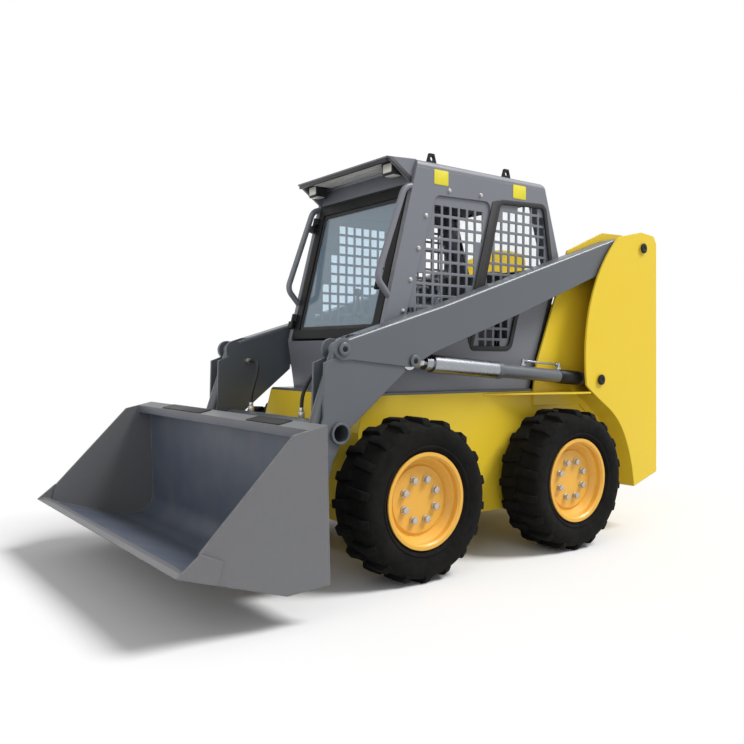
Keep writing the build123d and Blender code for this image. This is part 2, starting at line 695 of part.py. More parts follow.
with BuildPart() as tilt_rods:
    add(run(TILT_EYE, TILT_BASE, TILT_ROD_RADIUS, 0, TILT_ROD_LENGTH, ARM_CENTRE_Y))
    add(bar(TILT_EYE, TILT_EYE_RADIUS, TILT_LOW_Y, TILT_HIGH_Y))
    add(bar(TILT_EYE, TILT_ROD_RADIUS, TILT_LOW_Y, TILT_HIGH_Y), mode=Mode.SUBTRACT)
    mirror(about=Plane.XZ)
tilt_rods.part.label = "tilt_rods"
export_step(tilt_rods.part, "parts/tilt_rods.step")

# Bucket: bent sheet between two side plates, with a box flange along the top
LIP, FLOOR_FRONT, FLOOR_REAR, HEEL = by(HINGE, [(700, 46), (632, 24.7), (262, -91), (70, -81)])
BACK_TOP, SIDE_TOP, SIDE_LOW = by(HINGE, [(88, 538), (235, 506), (609, 118)])
CUTTER_LOW, CUTTER_TOP = by(HINGE, [(549, -1.2), (524, 81)])
SHELL_HALF = BUCKET_HALF - CUTTER_PLATE
BUCKET_OUTLINE = place([FLOOR_FRONT, FLOOR_REAR, HEEL, BACK_TOP, SIDE_TOP, SIDE_LOW])
MOUTH = 60
BUCKET_ROOM = inset(
    BUCKET_OUTLINE, [BUCKET_SHEET, BUCKET_SHEET, BUCKET_SHEET, -MOUTH, -MOUTH, -MOUTH]
)
FLANGE_FALL = (BACK_TOP[1] - SIDE_TOP[1]) / (SIDE_TOP[0] - BACK_TOP[0]) * FLANGE_DEPTH
FLANGE_OUTLINE = place(
    [
        (BACK_TOP[0], BACK_TOP[1]),
        (BACK_TOP[0] + FLANGE_DEPTH, BACK_TOP[1] - FLANGE_FALL),
        (BACK_TOP[0] + FLANGE_DEPTH, BACK_TOP[1] - FLANGE_FALL - FLANGE_HEIGHT),
        (BACK_TOP[0], BACK_TOP[1] - FLANGE_HEIGHT),
    ]
)
SIDE_IN_Y = SHELL_HALF - BUCKET_SIDE
with BuildPart() as bucket_shell:
    add(rounded(BUCKET_OUTLINE, BUCKET_OUTLINE[1:3], BUCKET_ROUND, -SIDE_IN_Y, SIDE_IN_Y))
    add(
        rounded(
            BUCKET_ROOM, BUCKET_ROOM[1:3], BUCKET_ROUND - BUCKET_SHEET, -SIDE_IN_Y, SIDE_IN_Y
        ),
        mode=Mode.SUBTRACT,
    )
    add(slab(BUCKET_OUTLINE, SIDE_IN_Y, SHELL_HALF))
    add(slab(BUCKET_OUTLINE, -SHELL_HALF, -SIDE_IN_Y))
    add(slab(FLANGE_OUTLINE, -SHELL_HALF, SHELL_HALF))
bucket_shell.part.label = "bucket_shell"
export_step(bucket_shell.part, "parts/bucket_shell.step")

# Cutting edge across the lip, and a side cutter on each end
SLOPE = math.atan2(LIP[1] - FLOOR_REAR[1], LIP[0] - FLOOR_REAR[0])
LEAN = (SIDE_LOW[0] - FLOOR_FRONT[0]) / (SIDE_LOW[1] - FLOOR_FRONT[1])
EDGE_OUTLINE = place(
    [
        LIP,
        FLOOR_FRONT,
        (FLOOR_FRONT[0] + LEAN * EDGE_PLATE, FLOOR_FRONT[1] + EDGE_PLATE),
        (LIP[0] - 2 * EDGE_PLATE, LIP[1] - 2 * EDGE_PLATE * math.tan(SLOPE) + EDGE_PLATE),
    ]
)
CUTTER_OUTLINE = place([LIP, CUTTER_LOW, CUTTER_TOP, SIDE_LOW])
with BuildPart() as cutting_edge:
    add(slab(EDGE_OUTLINE, -SHELL_HALF, SHELL_HALF))
    add(slab(CUTTER_OUTLINE, SHELL_HALF, BUCKET_HALF))
    add(slab(CUTTER_OUTLINE, -BUCKET_HALF, -SHELL_HALF))
cutting_edge.part.label = "cutting_edge"
export_step(cutting_edge.part, "parts/cutting_edge.step")

# Coupler: a plate on the bucket's back with two ears at each arm
BACK_LEAN = (BACK_TOP[0] - HEEL[0]) / (BACK_TOP[1] - HEEL[1])


def back_x(z):
    """Where the bucket's back lies at a height."""
    return HEEL[0] + BACK_LEAN * (z - HEEL[1])


COUPLER_OUTLINE = place(
    [
        (back_x(COUPLER_LOW_Z), COUPLER_LOW_Z),
        (back_x(COUPLER_TOP_Z), COUPLER_TOP_Z),
        (back_x(COUPLER_TOP_Z) - COUPLER_PLATE, COUPLER_TOP_Z),
        (back_x(COUPLER_LOW_Z) - COUPLER_PLATE, COUPLER_LOW_Z),
    ]
)
EAR_RADIUS = 44
EAR_OUTLINE = place(
    [
        (HINGE[0], HINGE[1] - EAR_RADIUS),
        (back_x(COUPLER_LOW_Z) - COUPLER_PLATE / 2, COUPLER_LOW_Z),
        (back_x(COUPLER_LOW_Z) - COUPLER_PLATE / 2, TILT_EYE[1] + 2 * EAR_RADIUS),
        (TILT_EYE[0], TILT_EYE[1] + EAR_RADIUS),
        (TILT_EYE[0] - EAR_RADIUS, TILT_EYE[1]),
        (HINGE[0] - EAR_RADIUS, HINGE[1]),
    ]
)


def ear(y_low):
    """One ear of the coupler, bored for the hinge pin."""
    plate = slab(EAR_OUTLINE, y_low, y_low + EAR_PLATE)
    plate = plate.fuse(bar(HINGE, EAR_RADIUS, y_low, y_low + EAR_PLATE))
    plate = plate.fuse(bar(TILT_EYE, EAR_RADIUS, y_low, y_low + EAR_PLATE))
    return plate.cut(bar(HINGE, HINGE_PIN_RADIUS + PIN_GAP, y_low - 1, y_low + EAR_PLATE + 1))


with BuildPart() as coupler:
    add(ear(ARM_CENTRE_Y - EAR_SPACE / 2 - EAR_PLATE))
    add(ear(ARM_CENTRE_Y + EAR_SPACE / 2))
    mirror(about=Plane.XZ)
    add(slab(COUPLER_OUTLINE, -COUPLER_HALF, COUPLER_HALF))
coupler.part.label = "coupler"
export_step(coupler.part, "parts/coupler.step")

# Cab sides, with two windows each
PILLAR_TOP = (WHEELBASE - 151, 1873)
CHIN = (WHEELBASE + 45, 1110)
TOE = (WHEELBASE + 5, CAB_BASE_Z)
PILLAR_LEAN = (PILLAR_TOP[0] - CHIN[0]) / (PILLAR_TOP[1] - CHIN[1])


def pillar_x(z):
    """Where the front edge of the cab lies at a height, above the chin."""
    return CHIN[0] + PILLAR_LEAN * (z - CHIN[1])


CAB_REAR = [(62, CAB_BASE_Z), (16, 1015), (-104, 1377), (-210, 1490), (-56, CAB_TOP_Z)]
CAB_SIDE = place(CAB_REAR + [(pillar_x(CAB_TOP_Z), CAB_TOP_Z), CHIN, TOE])
FRONT_WINDOW = place(
    [(WHEELBASE - 301, 1838), (362, 1850), (545, 1160), (WHEELBASE - 90, 1160)]
)
REAR_WINDOW = place([(318, 1868), (-54, 1885), (-125, 1510), (157, 1276), (217, 1065), (526, 1065)])


def cab_side(y_low):
    """One side of the cab, with its windows cut."""
    wall = slab(CAB_SIDE, y_low, y_low + CAB_WALL)
    for window in (FRONT_WINDOW, REAR_WINDOW):
        wall = wall.cut(rounded(window, window, WINDOW_ROUND, y_low - 1, y_low + CAB_WALL + 1))
    return wall


with BuildPart() as cab_side_left:
    add(cab_side(CAB_IN))
cab_side_left.part.label = "cab_side_left"
export_step(cab_side_left.part, "parts/cab_side_left.step")

with BuildPart() as cab_side_right:
    add(cab_side(-CAB_HALF))
cab_side_right.part.label = "cab_side_right"
export_step(cab_side_right.part, "parts/cab_side_right.step")


def screen(window, y_low):
    """A steel sheet in a window, punched with square holes."""
    rim = inset(window, [SCREEN_HOLE / 2 + SCREEN_PLATE] * len(window))
    half = SCREEN_HOLE / 2
    corner_keep = WINDOW_ROUND + half
    low_x = min(x for x, z in window)
    high_x = max(x for x, z in window)
    low_z = min(z for x, z in window)
    high_z = max(z for x, z in window)
    sheet = rounded(window, window, WINDOW_ROUND, y_low, y_low + SCREEN_PLATE)
    holes = []
    for column in range(int((high_x - low_x) / SCREEN_PITCH) + 1):
        for row in range(int((high_z - low_z) / SCREEN_PITCH) + 1):
            x = low_x + (column + 0.5) * SCREEN_PITCH
            z = low_z + (row + 0.5) * SCREEN_PITCH
            corner_gap = min(math.dist((x, z), corner) for corner in window)
            if inside((x, z), rim) and corner_gap > corner_keep:
                corners = [(x - half, z - half), (x + half, z - half)]
                corners += [(x + half, z + half), (x - half, z + half)]
                holes.append(slab(corners, y_low - 1, y_low + SCREEN_PLATE + 1))
    return sheet.cut(*holes)


SCREEN_Y = CAB_IN + CAB_WALL / 2
with BuildPart() as side_screens:
    for window in (FRONT_WINDOW, REAR_WINDOW):
        add(screen(window, SCREEN_Y))
        add(screen(window, -SCREEN_Y - SCREEN_PLATE))
side_screens.part.label = "side_screens"
export_step(side_screens.part, "parts/side_screens.step")

# Cab roof with the header over the door
HEADER_Z = 1885
HEADER = place(
    [
        (pillar_x(CAB_TOP_Z), CAB_TOP_Z),
        (pillar_x(HEADER_Z), HEADER_Z),
        (pillar_x(HEADER_Z) - CAB_WALL, HEADER_Z),
        (pillar_x(CAB_TOP_Z) - CAB_WALL, CAB_TOP_Z),
    ]
)
ROOF_FRONT = (WHEELBASE - 188, ROOF_Z)
ROOF_OUTLINE = place(
    [(-56, CAB_TOP_Z), (-44, ROOF_Z), ROOF_FRONT, (pillar_x(CAB_TOP_Z), CAB_TOP_Z)]
)
with BuildPart() as cab_roof:
    add(slab(ROOF_OUTLINE, -CAB_HALF, CAB_HALF))
    roof_top = cab_roof.edges().group_by(Axis.Z)[-1]
    roof_rear = roof_top.filter_by(Axis.Y).sort_by(Axis.X)[0]
    fillet(roof_top.filter_by(Axis.X) + [roof_rear], ROOF_ROUND)
    add(slab(HEADER, -CAB_IN, CAB_IN))
cab_roof.part.label = "cab_roof"
export_step(cab_roof.part, "parts/cab_roof.step")

# Rear wall of the cab with its window
REAR_OUTER = place(CAB_REAR)
REAR_INNER = place([(x + CAB_WALL * 1.06, z) for x, z in CAB_REAR])
REAR_GLASS_LOW = 1530
REAR_GLASS_TOP = 1915
REAR_GLASS_HALF = CAB_IN - 80
REAR_RISE = (CAB_REAR[4][0] - CAB_REAR[3][0]) / (CAB_REAR[4][1] - CAB_REAR[3][1])


def rear_x(z):
    """Where the cab's rear face lies at a height, above its bend."""
    return CAB_REAR[3][0] + REAR_RISE * (z - CAB_REAR[3][1])


def rear_pane(start, depth, z_low, z_high):
    """An outline along the upper rear face, from one depth in it to another."""
    return place(
        [
            (rear_x(z_low) + start, z_low),
            (rear_x(z_high) + start, z_high),
            (rear_x(z_high) + start + depth, z_high),
            (rear_x(z_low) + start + depth, z_low),
        ]
    )


with BuildPart() as cab_rear_wall:
    add(slab(REAR_OUTER + REAR_INNER[::-1], -CAB_IN, CAB_IN))
    add(
        slab(
            rear_pane(-CAB_WALL, 3 * CAB_WALL, REAR_GLASS_LOW, REAR_GLASS_TOP),
            -REAR_GLASS_HALF,
            REAR_GLASS_HALF,
        ),
        mode=Mode.SUBTRACT,
    )
cab_rear_wall.part.label = "cab_rear_wall"
export_step(cab_rear_wall.part, "parts/cab_rear_wall.step")

with BuildPart() as rear_window:
    add(
        slab(
            rear_pane(CAB_WALL / 2, GLASS, REAR_GLASS_LOW, REAR_GLASS_TOP),
            -REAR_GLASS_HALF,
            REAR_GLASS_HALF,
        )
    )
rear_window.part.label = "rear_window"
export_step(rear_window.part, "parts/rear_window.step")

# Cab floor, and the panel under the door
FLOOR_REAR_X = 62
FLOOR_FRONT_X = WHEELBASE + TUB_FRONT - TUB_NOSE
FLOOR_OUTLINE = place(
    [
        (FLOOR_REAR_X, TUB_TOP_Z),
        (FLOOR_FRONT_X, TUB_TOP_Z),
        (FLOOR_FRONT_X - FLOOR_PLATE, CAB_BASE_Z),
        (FLOOR_REAR_X, CAB_BASE_Z),
    ]
)
with BuildPart() as cab_floor:
    add(slab(FLOOR_OUTLINE, -TUB_HALF, TUB_HALF))
cab_floor.part.label = "cab_floor"
export_step(cab_floor.part, "parts/cab_floor.step")

FRONT_PANEL = place([TOE, CHIN, (CHIN[0] - CAB_WALL, CHIN[1]), (TOE[0] - CAB_WALL, TOE[1])])
with BuildPart() as cab_front_panel:
    add(slab(FRONT_PANEL, -CAB_IN, CAB_IN))
cab_front_panel.part.label = "cab_front_panel"
export_step(cab_front_panel.part, "parts/cab_front_panel.step")

# Front door in the plane of the front pillars
PILLAR_UP = Vector(PILLAR_LEAN, 0, 1).normalized()
PILLAR_OUT = Vector(PILLAR_UP.Z, 0, -PILLAR_UP.X)
DOOR_LOW_Z = CHIN[1] + DOOR_GAP * 1.5
DOOR_TOP_Z = HEADER_Z - DOOR_GAP * 1.5
DOOR_HALF = CAB_IN - DOOR_GAP
DOOR_PIN_Y = -CAB_IN + DOOR_GAP / 2


def on_pillar(z, out):
    """A point on the plane of the front pillars at a height, moved out of the plane."""
    return (
        REAR_AXLE_X + pillar_x(z) + PILLAR_OUT.X * out,
        z + PILLAR_OUT.Z * out,
    )


def door_leaf(low_z, top_z, out_low, out_high, half):
    """A leaf in the plane of the front pillars."""
    corners = [on_pillar(low_z, out_high), on_pillar(top_z, out_high)]
    corners += [on_pillar(top_z, out_low), on_pillar(low_z, out_low)]
    return slab(corners, -half, half)


def on_door_pin(z, radius, length):
    """A round bar on the door's hinge line, up from a height."""
    x, height = on_pillar(z, HINGE_STAND_OFF)
    return Solid.make_cylinder(radius, length, Plane(origin=(x, DOOR_PIN_Y, height), z_dir=PILLAR_UP))


def hinge_block(z, length, out_low, out_high, y_low, y_high):
    """A block beside the door's hinge line."""
    rise = length * PILLAR_UP.Z
    corners = [on_pillar(z, out_high), on_pillar(z + rise, out_high)]
    corners += [on_pillar(z + rise, out_low), on_pillar(z, out_low)]
    return slab(corners, y_low, y_high)


DOOR_HINGES_Z = (1180, 1730)
WINDOW_HALF = DOOR_HALF - DOOR_FRAME
WINDOW_LOW_Z = DOOR_LOW_Z + DOOR_FRAME
WINDOW_TOP_Z = DOOR_TOP_Z - DOOR_FRAME
with BuildPart() as cab_door:
    add(door_leaf(DOOR_LOW_Z, DOOR_TOP_Z, -DOOR_DEPTH, 0, DOOR_HALF))
    add(
        door_leaf(WINDOW_LOW_Z, WINDOW_TOP_Z, -2 * DOOR_DEPTH, DOOR_DEPTH, WINDOW_HALF),
        mode=Mode.SUBTRACT,
    )
    for z in DOOR_HINGES_Z:
        knuckle_z = z + KNUCKLE_LENGTH * PILLAR_UP.Z
        add(on_door_pin(knuckle_z, KNUCKLE_RADIUS, KNUCKLE_LENGTH))
        add(
            hinge_block(
                knuckle_z,
                KNUCKLE_LENGTH,
                0,
                HINGE_STAND_OFF,
                DOOR_PIN_Y,
                DOOR_PIN_Y + 3 * DOOR_GAP,
            )
        )
        add(on_door_pin(knuckle_z, DOOR_PIN_RADIUS + PIN_GAP, KNUCKLE_LENGTH), mode=Mode.SUBTRACT)
cab_door.part.label = "cab_door"
export_step(cab_door.part, "parts/cab_door.step")

with BuildPart() as cab_door_glass:
    add(
        door_leaf(
            WINDOW_LOW_Z,
            WINDOW_TOP_Z,
            -DOOR_DEPTH / 2 - GLASS,
            -DOOR_DEPTH / 2,
            WINDOW_HALF,
        )
    )
cab_door_glass.part.label = "cab_door_glass"
export_step(cab_door_glass.part, "parts/cab_door_glass.step")

BRACKET_IN = 5
with BuildPart() as cab_door_hinges:
    for z in DOOR_HINGES_Z:
        add(hinge_block(z, KNUCKLE_LENGTH - 1, 0, HINGE_STAND_OFF, -CAB_HALF, -CAB_IN - 2))
        add(
            hinge_block(
                z,
                KNUCKLE_LENGTH - 1,
                BRACKET_IN,
                2 * HINGE_STAND_OFF - BRACKET_IN,
                -CAB_HALF,
                DOOR_PIN_Y + DOOR_PIN_RADIUS,
            )
        )
        add(on_door_pin(z, DOOR_PIN_RADIUS, 2 * KNUCKLE_LENGTH))
cab_door_hinges.part.label = "cab_door_hinges"
export_step(cab_door_hinges.part, "parts/cab_door_hinges.step")

# Visor over the door, with a work lamp near each end
VISOR_TIP = (WHEELBASE - 4, 1993)
VISOR_BEND = (WHEELBASE - 160, ROOF_Z - 2 * VISOR_PLATE)
VISOR_DROP = (pillar_x(HEADER_Z), HEADER_Z)
VISOR_ROOT = (pillar_x(CAB_TOP_Z), CAB_TOP_Z)
VISOR_TOP = place(
    [
        VISOR_ROOT,
        ROOF_FRONT,
        VISOR_TIP,
        (VISOR_TIP[0], VISOR_TIP[1] - VISOR_PLATE),
        VISOR_BEND,
    ]
)
VISOR_CHEEK = place([VISOR_DROP, VISOR_ROOT, ROOF_FRONT, VISOR_TIP])
with BuildPart() as visor:
    add(slab(VISOR_TOP, -VISOR_HALF, VISOR_HALF))
    add(slab(VISOR_CHEEK, VISOR_HALF - PLATE, VISOR_HALF))
    add(slab(VISOR_CHEEK, -VISOR_HALF, PLATE - VISOR_HALF))
visor.part.label = "visor"
export_step(visor.part, "parts/visor.step")

LAMP_WIDTH = 84
LAMP_DEPTH = 60
LAMP_LOW_Z = 1920
LAMP_REAR = WHEELBASE - 125
LAMP_END_GAP = 14
VISOR_FALL = (VISOR_BEND[1] - VISOR_TIP[1] + VISOR_PLATE) / (VISOR_TIP[0] - VISOR_BEND[0])


def visor_under(x):
    """The underside of the visor at a distance forward."""
    return VISOR_BEND[1] - VISOR_FALL * (x - VISOR_BEND[0])


LAMP_OUTLINE = place(
    [
        (LAMP_REAR, LAMP_LOW_Z),
        (LAMP_REAR + LAMP_DEPTH, LAMP_LOW_Z),
        (LAMP_REAR + LAMP_DEPTH, visor_under(LAMP_REAR + LAMP_DEPTH)),
        (LAMP_REAR, visor_under(LAMP_REAR)),
    ]
)
LAMP_OUT_Y = VISOR_HALF - PLATE - LAMP_END_GAP
with BuildPart() as work_lamps:
    add(slab(LAMP_OUTLINE, LAMP_OUT_Y - LAMP_WIDTH, LAMP_OUT_Y))
    add(slab(LAMP_OUTLINE, -LAMP_OUT_Y, LAMP_WIDTH - LAMP_OUT_Y))
work_lamps.part.label = "work_lamps"
export_step(work_lamps.part, "parts/work_lamps.step")

# Grab rails in front of the pillars
RAIL_TOP_Z = 1868
RAIL_POINTS = [(pillar_x(RAIL_TOP_Z) - RAIL_RADIUS, RAIL_TOP_Z), (WHEELBASE - 110, RAIL_TOP_Z - 10)]
RAIL_POINTS += [(WHEELBASE + 57, 1402), (WHEELBASE - 20, 1316)]


def rail(y):
    """One bent rail, cut off where it meets the pillar."""
    path = FilletPolyline(*[(x, y, z) for x, z in place(RAIL_POINTS)], radius=RAIL_BEND)
    section = Plane(origin=path @ 0, z_dir=path % 0) * Circle(RAIL_RADIUS)
    tube = sweep(section, path=path).solid()
    return tube.cut(slab(CAB_SIDE, y - CAB_WALL, y + CAB_WALL))


RAILS = [rail(RAIL_Y), rail(-RAIL_Y)]
with BuildPart() as grab_rails:
    add(RAILS)
grab_rails.part.label = "grab_rails"
export_step(grab_rails.part, "parts/grab_rails.step")

# Lifting eyes on the roof
EYE_Y = CAB_HALF - EYE_INSET
EYE_HALF = 32
EYE_HEIGHT = 52
EYE_REAR = 205
EYE_FRONT = WHEELBASE - 315
with BuildPart() as lifting_eyes:
    for x in (EYE_REAR, EYE_FRONT):
        outline = [(x - EYE_HALF, ROOF_Z), (x + EYE_HALF, ROOF_Z)]
        outline += [(x + EYE_HALF / 2, ROOF_Z + EYE_HEIGHT), (x - EYE_HALF / 2, ROOF_Z + EYE_HEIGHT)]
        add(slab(place(outline), EYE_Y - EYE_PLATE, EYE_Y))
        add(bar((x, ROOF_Z + EYE_HEIGHT / 2), EYE_BORE, EYE_Y - EYE_PLATE, EYE_Y), mode=Mode.SUBTRACT)
    mirror(about=Plane.XZ)
lifting_eyes.part.label = "lifting_eyes"
export_step(lifting_eyes.part, "parts/lifting_eyes.step")

# Seat, consoles and levers
CONSOLE_WIDTH = 140
SEAT_SIDE_GAP = 25
CONSOLE_IN = CAB_IN - CONSOLE_WIDTH
SEAT_HALF = CONSOLE_IN - SEAT_SIDE_GAP
SEAT_LOW_Z = 1060
SEAT_TOP_Z = 1170
SEAT_REAR = 190
SEAT_FRONT = 640
BACKREST = place([(200, SEAT_TOP_Z), (145, 1530), (42, 1530), (90, SEAT_TOP_Z)])
with BuildPart() as seat_base:
    base = [(SEAT_REAR - 60, CAB_BASE_Z), (SEAT_FRONT - 90, CAB_BASE_Z)]
    base += [(SEAT_FRONT - 60, SEAT_LOW_Z), (SEAT_REAR - 100, SEAT_LOW_Z)]
    add(slab(place(base), SEAT_SIDE_GAP - SEAT_HALF, SEAT_HALF - SEAT_SIDE_GAP))
seat_base.part.label = "seat_base"
export_step(seat_base.part, "parts/seat_base.step")

with BuildPart() as seat_cushion:
    pad = [(SEAT_REAR - 100, SEAT_LOW_Z), (SEAT_FRONT, SEAT_LOW_Z)]
    pad += [(SEAT_FRONT, SEAT_TOP_Z - 10), (SEAT_FRONT - 40, SEAT_TOP_Z), (SEAT_REAR - 100, SEAT_TOP_Z)]
    add(slab(place(pad), -SEAT_HALF, SEAT_HALF))
seat_cushion.part.label = "seat_cushion"
export_step(seat_cushion.part, "parts/seat_cushion.step")

with BuildPart() as seat_backrest:
    add(slab(BACKREST, -SEAT_HALF, SEAT_HALF))
seat_backrest.part.label = "seat_backrest"
export_step(seat_backrest.part, "parts/seat_backrest.step")

CONSOLE_TOP_Z = 1250
CONSOLE = [(320, CAB_BASE_Z), (640, CAB_BASE_Z), (760, 1190), (740, CONSOLE_TOP_Z), (300, CONSOLE_TOP_Z)]
with BuildPart() as consoles:
    add(slab(place(CONSOLE), CONSOLE_IN, CAB_IN))
    add(slab(place(CONSOLE), -CAB_IN, -CONSOLE_IN))
consoles.part.label = "consoles"
export_step(consoles.part, "parts/consoles.step")

LEVER_X = 690
LEVER_HEIGHT = 150
LEVER_RADIUS = 10
KNOB_RADIUS = 24
LEVER_Y = (CONSOLE_IN + CAB_IN) / 2
with BuildPart() as levers:
    for y in (LEVER_Y, -LEVER_Y):
        foot = (REAR_AXLE_X + LEVER_X, y, CONSOLE_TOP_Z)
        add(Solid.make_cylinder(LEVER_RADIUS, LEVER_HEIGHT, Plane(origin=foot)))
        knob = (REAR_AXLE_X + LEVER_X, y, CONSOLE_TOP_Z + LEVER_HEIGHT)
        add(Solid.make_sphere(KNOB_RADIUS, Plane(origin=knob)))
levers.part.label = "levers"
export_step(levers.part, "parts/levers.step")

# Engine and the hood over it
ENGINE_HALF = TUB_HALF - 160
ENGINE_REAR = -680
ENGINE_FRONT = -150
ENGINE_LOW_Z = TUB_BELLY_Z + PLATE
ENGINE_FRONT_Z = 900
ENGINE_REAR_Z = 1050
with BuildPart() as engine_block:
    engine = [(ENGINE_REAR, ENGINE_LOW_Z), (ENGINE_FRONT, ENGINE_LOW_Z)]
    engine += [(ENGINE_FRONT, ENGINE_FRONT_Z), (ENGINE_REAR, ENGINE_REAR_Z)]
    add(slab(place(engine), -ENGINE_HALF, ENGINE_HALF))
engine_block.part.label = "engine_block"
export_step(engine_block.part, "parts/engine_block.step")

HOOD_FRONT = (-120, 1330)
HOOD_REAR = (-880, 1300)
SLOT_COUNT = 8
SLOT_PITCH = 46
SLOT_LENGTH = 560
SLOT_WIDTH = 20
HOOD_OUTLINE = place(
    [
        HOOD_FRONT,
        HOOD_REAR,
        (HOOD_REAR[0], HOOD_REAR[1] - HOOD_PLATE),
        (HOOD_FRONT[0], HOOD_FRONT[1] - HOOD_PLATE),
    ]
)
with BuildPart() as engine_hood:
    add(slab(HOOD_OUTLINE, -TUB_HALF, TUB_HALF))
    for number in range(SLOT_COUNT):
        start = HOOD_REAR[0] + 90 + number * SLOT_PITCH
        slot = [(start, HOOD_REAR[1] - 90), (start + SLOT_WIDTH, HOOD_REAR[1] - 90)]
        slot += [(start + SLOT_WIDTH, HOOD_FRONT[1] + 90), (start, HOOD_FRONT[1] + 90)]
        add(slab(place(slot), -SLOT_LENGTH / 2, SLOT_LENGTH / 2), mode=Mode.SUBTRACT)
engine_hood.part.label = "engine_hood"
export_step(engine_hood.part, "parts/engine_hood.step")

# Rear beam with two tie-down bores
BEAM_REAR = -TUB_REAR - BEAM_DEPTH
with BuildPart() as rear_beam:
    beam = [(BEAM_REAR, BEAM_LOW_Z), (-TUB_REAR, BEAM_LOW_Z), (-TUB_REAR, BEAM_TOP_Z), (BEAM_REAR, BEAM_TOP_Z)]
    add(slab(place(beam), -TUB_HALF, TUB_HALF))
    for y in (TIE_DOWN_Y, -TIE_DOWN_Y):
        mouth = (REAR_AXLE_X + BEAM_REAR, y, (BEAM_LOW_Z + BEAM_TOP_Z) / 2)
        bore = Solid.make_cylinder(TIE_DOWN_RADIUS, BEAM_DEPTH, Plane(origin=mouth, z_dir=(1, 0, 0)))
        add(bore, mode=Mode.SUBTRACT)
rear_beam.part.label = "rear_beam"
export_step(rear_beam.part, "parts/rear_beam.step")

# Rear door on a vertical hinge at the right
TOWER_REAR_LEAN = (TOWER_SHOULDER[0] - TOWER_HEEL[0]) / (TOWER_SHOULDER[1] - TOWER_HEEL[1])


def tower_rear(z):
    """Where the rear face of a tower lies at a height."""
    return TOWER_HEEL[0] + TOWER_REAR_LEAN * (z - TOWER_HEEL[1])


REAR_DOOR_FRONT = TOWER_HEEL[0] - 3.5
REAR_DOOR_LOW_Z = BEAM_TOP_Z + SIDE_GAP
REAR_DOOR_TOP_Z = 1290
REAR_PIN_X = REAR_DOOR_FRONT - REAR_DOOR_DEPTH / 2
REAR_HINGES_Z = (560, 1140)
REAR_DOOR = [
    (REAR_DOOR_FRONT, REAR_DOOR_LOW_Z),
    (REAR_DOOR_FRONT - REAR_DOOR_DEPTH, REAR_DOOR_LOW_Z),
    (REAR_DOOR_FRONT - REAR_DOOR_DEPTH, REAR_DOOR_TOP_Z),
    (REAR_DOOR_FRONT, REAR_DOOR_TOP_Z),
]
REAR_SLOTS = 9
REAR_SLOT_PITCH = 52
REAR_SLOT_HEIGHT = 22
REAR_SLOT_LOW_Z = 640


def rear_pin(z, radius, length):
    """A round bar on the rear door's hinge line."""
    foot = (REAR_AXLE_X + REAR_PIN_X, -REAR_PIN_Y, z)
    return Solid.make_cylinder(radius, length, Plane(origin=foot))


with BuildPart() as rear_door:
    add(slab(place(REAR_DOOR), -REAR_DOOR_EDGE, REAR_DOOR_EDGE))
    for number in range(REAR_SLOTS):
        low = REAR_SLOT_LOW_Z + number * REAR_SLOT_PITCH
        slot = [(REAR_DOOR_FRONT + 1, low), (REAR_DOOR_FRONT - REAR_DOOR_DEPTH - 1, low)]
        slot += [(x, low + REAR_SLOT_HEIGHT) for x, z in slot[::-1]]
        add(slab(place(slot), -SLOT_LENGTH / 2, SLOT_LENGTH / 2), mode=Mode.SUBTRACT)
    for z in REAR_HINGES_Z:
        add(rear_pin(z + KNUCKLE_LENGTH, KNUCKLE_RADIUS, KNUCKLE_LENGTH))
        link = [(REAR_PIN_X - 6, z + KNUCKLE_LENGTH), (REAR_PIN_X + 6, z + KNUCKLE_LENGTH)]
        link += [(x, h + KNUCKLE_LENGTH) for x, h in link[::-1]]
        add(slab(place(link), -REAR_PIN_Y, -REAR_DOOR_EDGE))
        add(rear_pin(z + KNUCKLE_LENGTH, DOOR_PIN_RADIUS + PIN_GAP, KNUCKLE_LENGTH), mode=Mode.SUBTRACT)
rear_door.part.label = "rear_door"
export_step(rear_door.part, "parts/rear_door.step")

with BuildPart() as rear_door_hinges:
    for z in REAR_HINGES_Z:
        add(rear_pin(z, KNUCKLE_RADIUS, KNUCKLE_LENGTH - 1))
        add(rear_pin(z, DOOR_PIN_RADIUS, 2 * KNUCKLE_LENGTH))
        top = z + KNUCKLE_LENGTH - 1
        link = [(REAR_PIN_X, z), (tower_rear(z), z), (tower_rear(top), top), (REAR_PIN_X, top)]
        add(slab(place(link), -REAR_PIN_Y - 3 * KNUCKLE_RADIUS, -REAR_PIN_Y))
rear_door_hinges.part.label = "rear_door_hinges"
export_step(rear_door_hinges.part, "parts/rear_door_hinges.step")

# Tail lamps on the rear faces of the towers
TAIL_LOW_Z = 1340
TAIL_TOP_Z = 1500
TAIL_DEPTH = 24
TAIL_OUTLINE = place(
    [
        (tower_rear(TAIL_LOW_Z), TAIL_LOW_Z),
        (tower_rear(TAIL_TOP_Z), TAIL_TOP_Z),
        (tower_rear(TAIL_TOP_Z) - TAIL_DEPTH, TAIL_TOP_Z),
        (tower_rear(TAIL_LOW_Z) - TAIL_DEPTH, TAIL_LOW_Z),
    ]
)
TAIL_Y = TUB_HALF + TOWER_WIDTH / 2
TAIL_HALF = 40
with BuildPart() as tail_lamps:
    add(slab(TAIL_OUTLINE, TAIL_Y - TAIL_HALF, TAIL_Y + TAIL_HALF))
    add(slab(TAIL_OUTLINE, -TAIL_Y - TAIL_HALF, TAIL_HALF - TAIL_Y))
tail_lamps.part.label = "tail_lamps"
export_step(tail_lamps.part, "parts/tail_lamps.step")
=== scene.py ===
# %% [markdown]
# # A skid steer loader, dressed in Blender
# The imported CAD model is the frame. It already has every panel, pin and plate in its right place,
# in metres. This lesson adds what CAD leaves plain: paint, rubber, glass, sewn seat pads, round
# tyres and the many small fittings that make a machine look real.

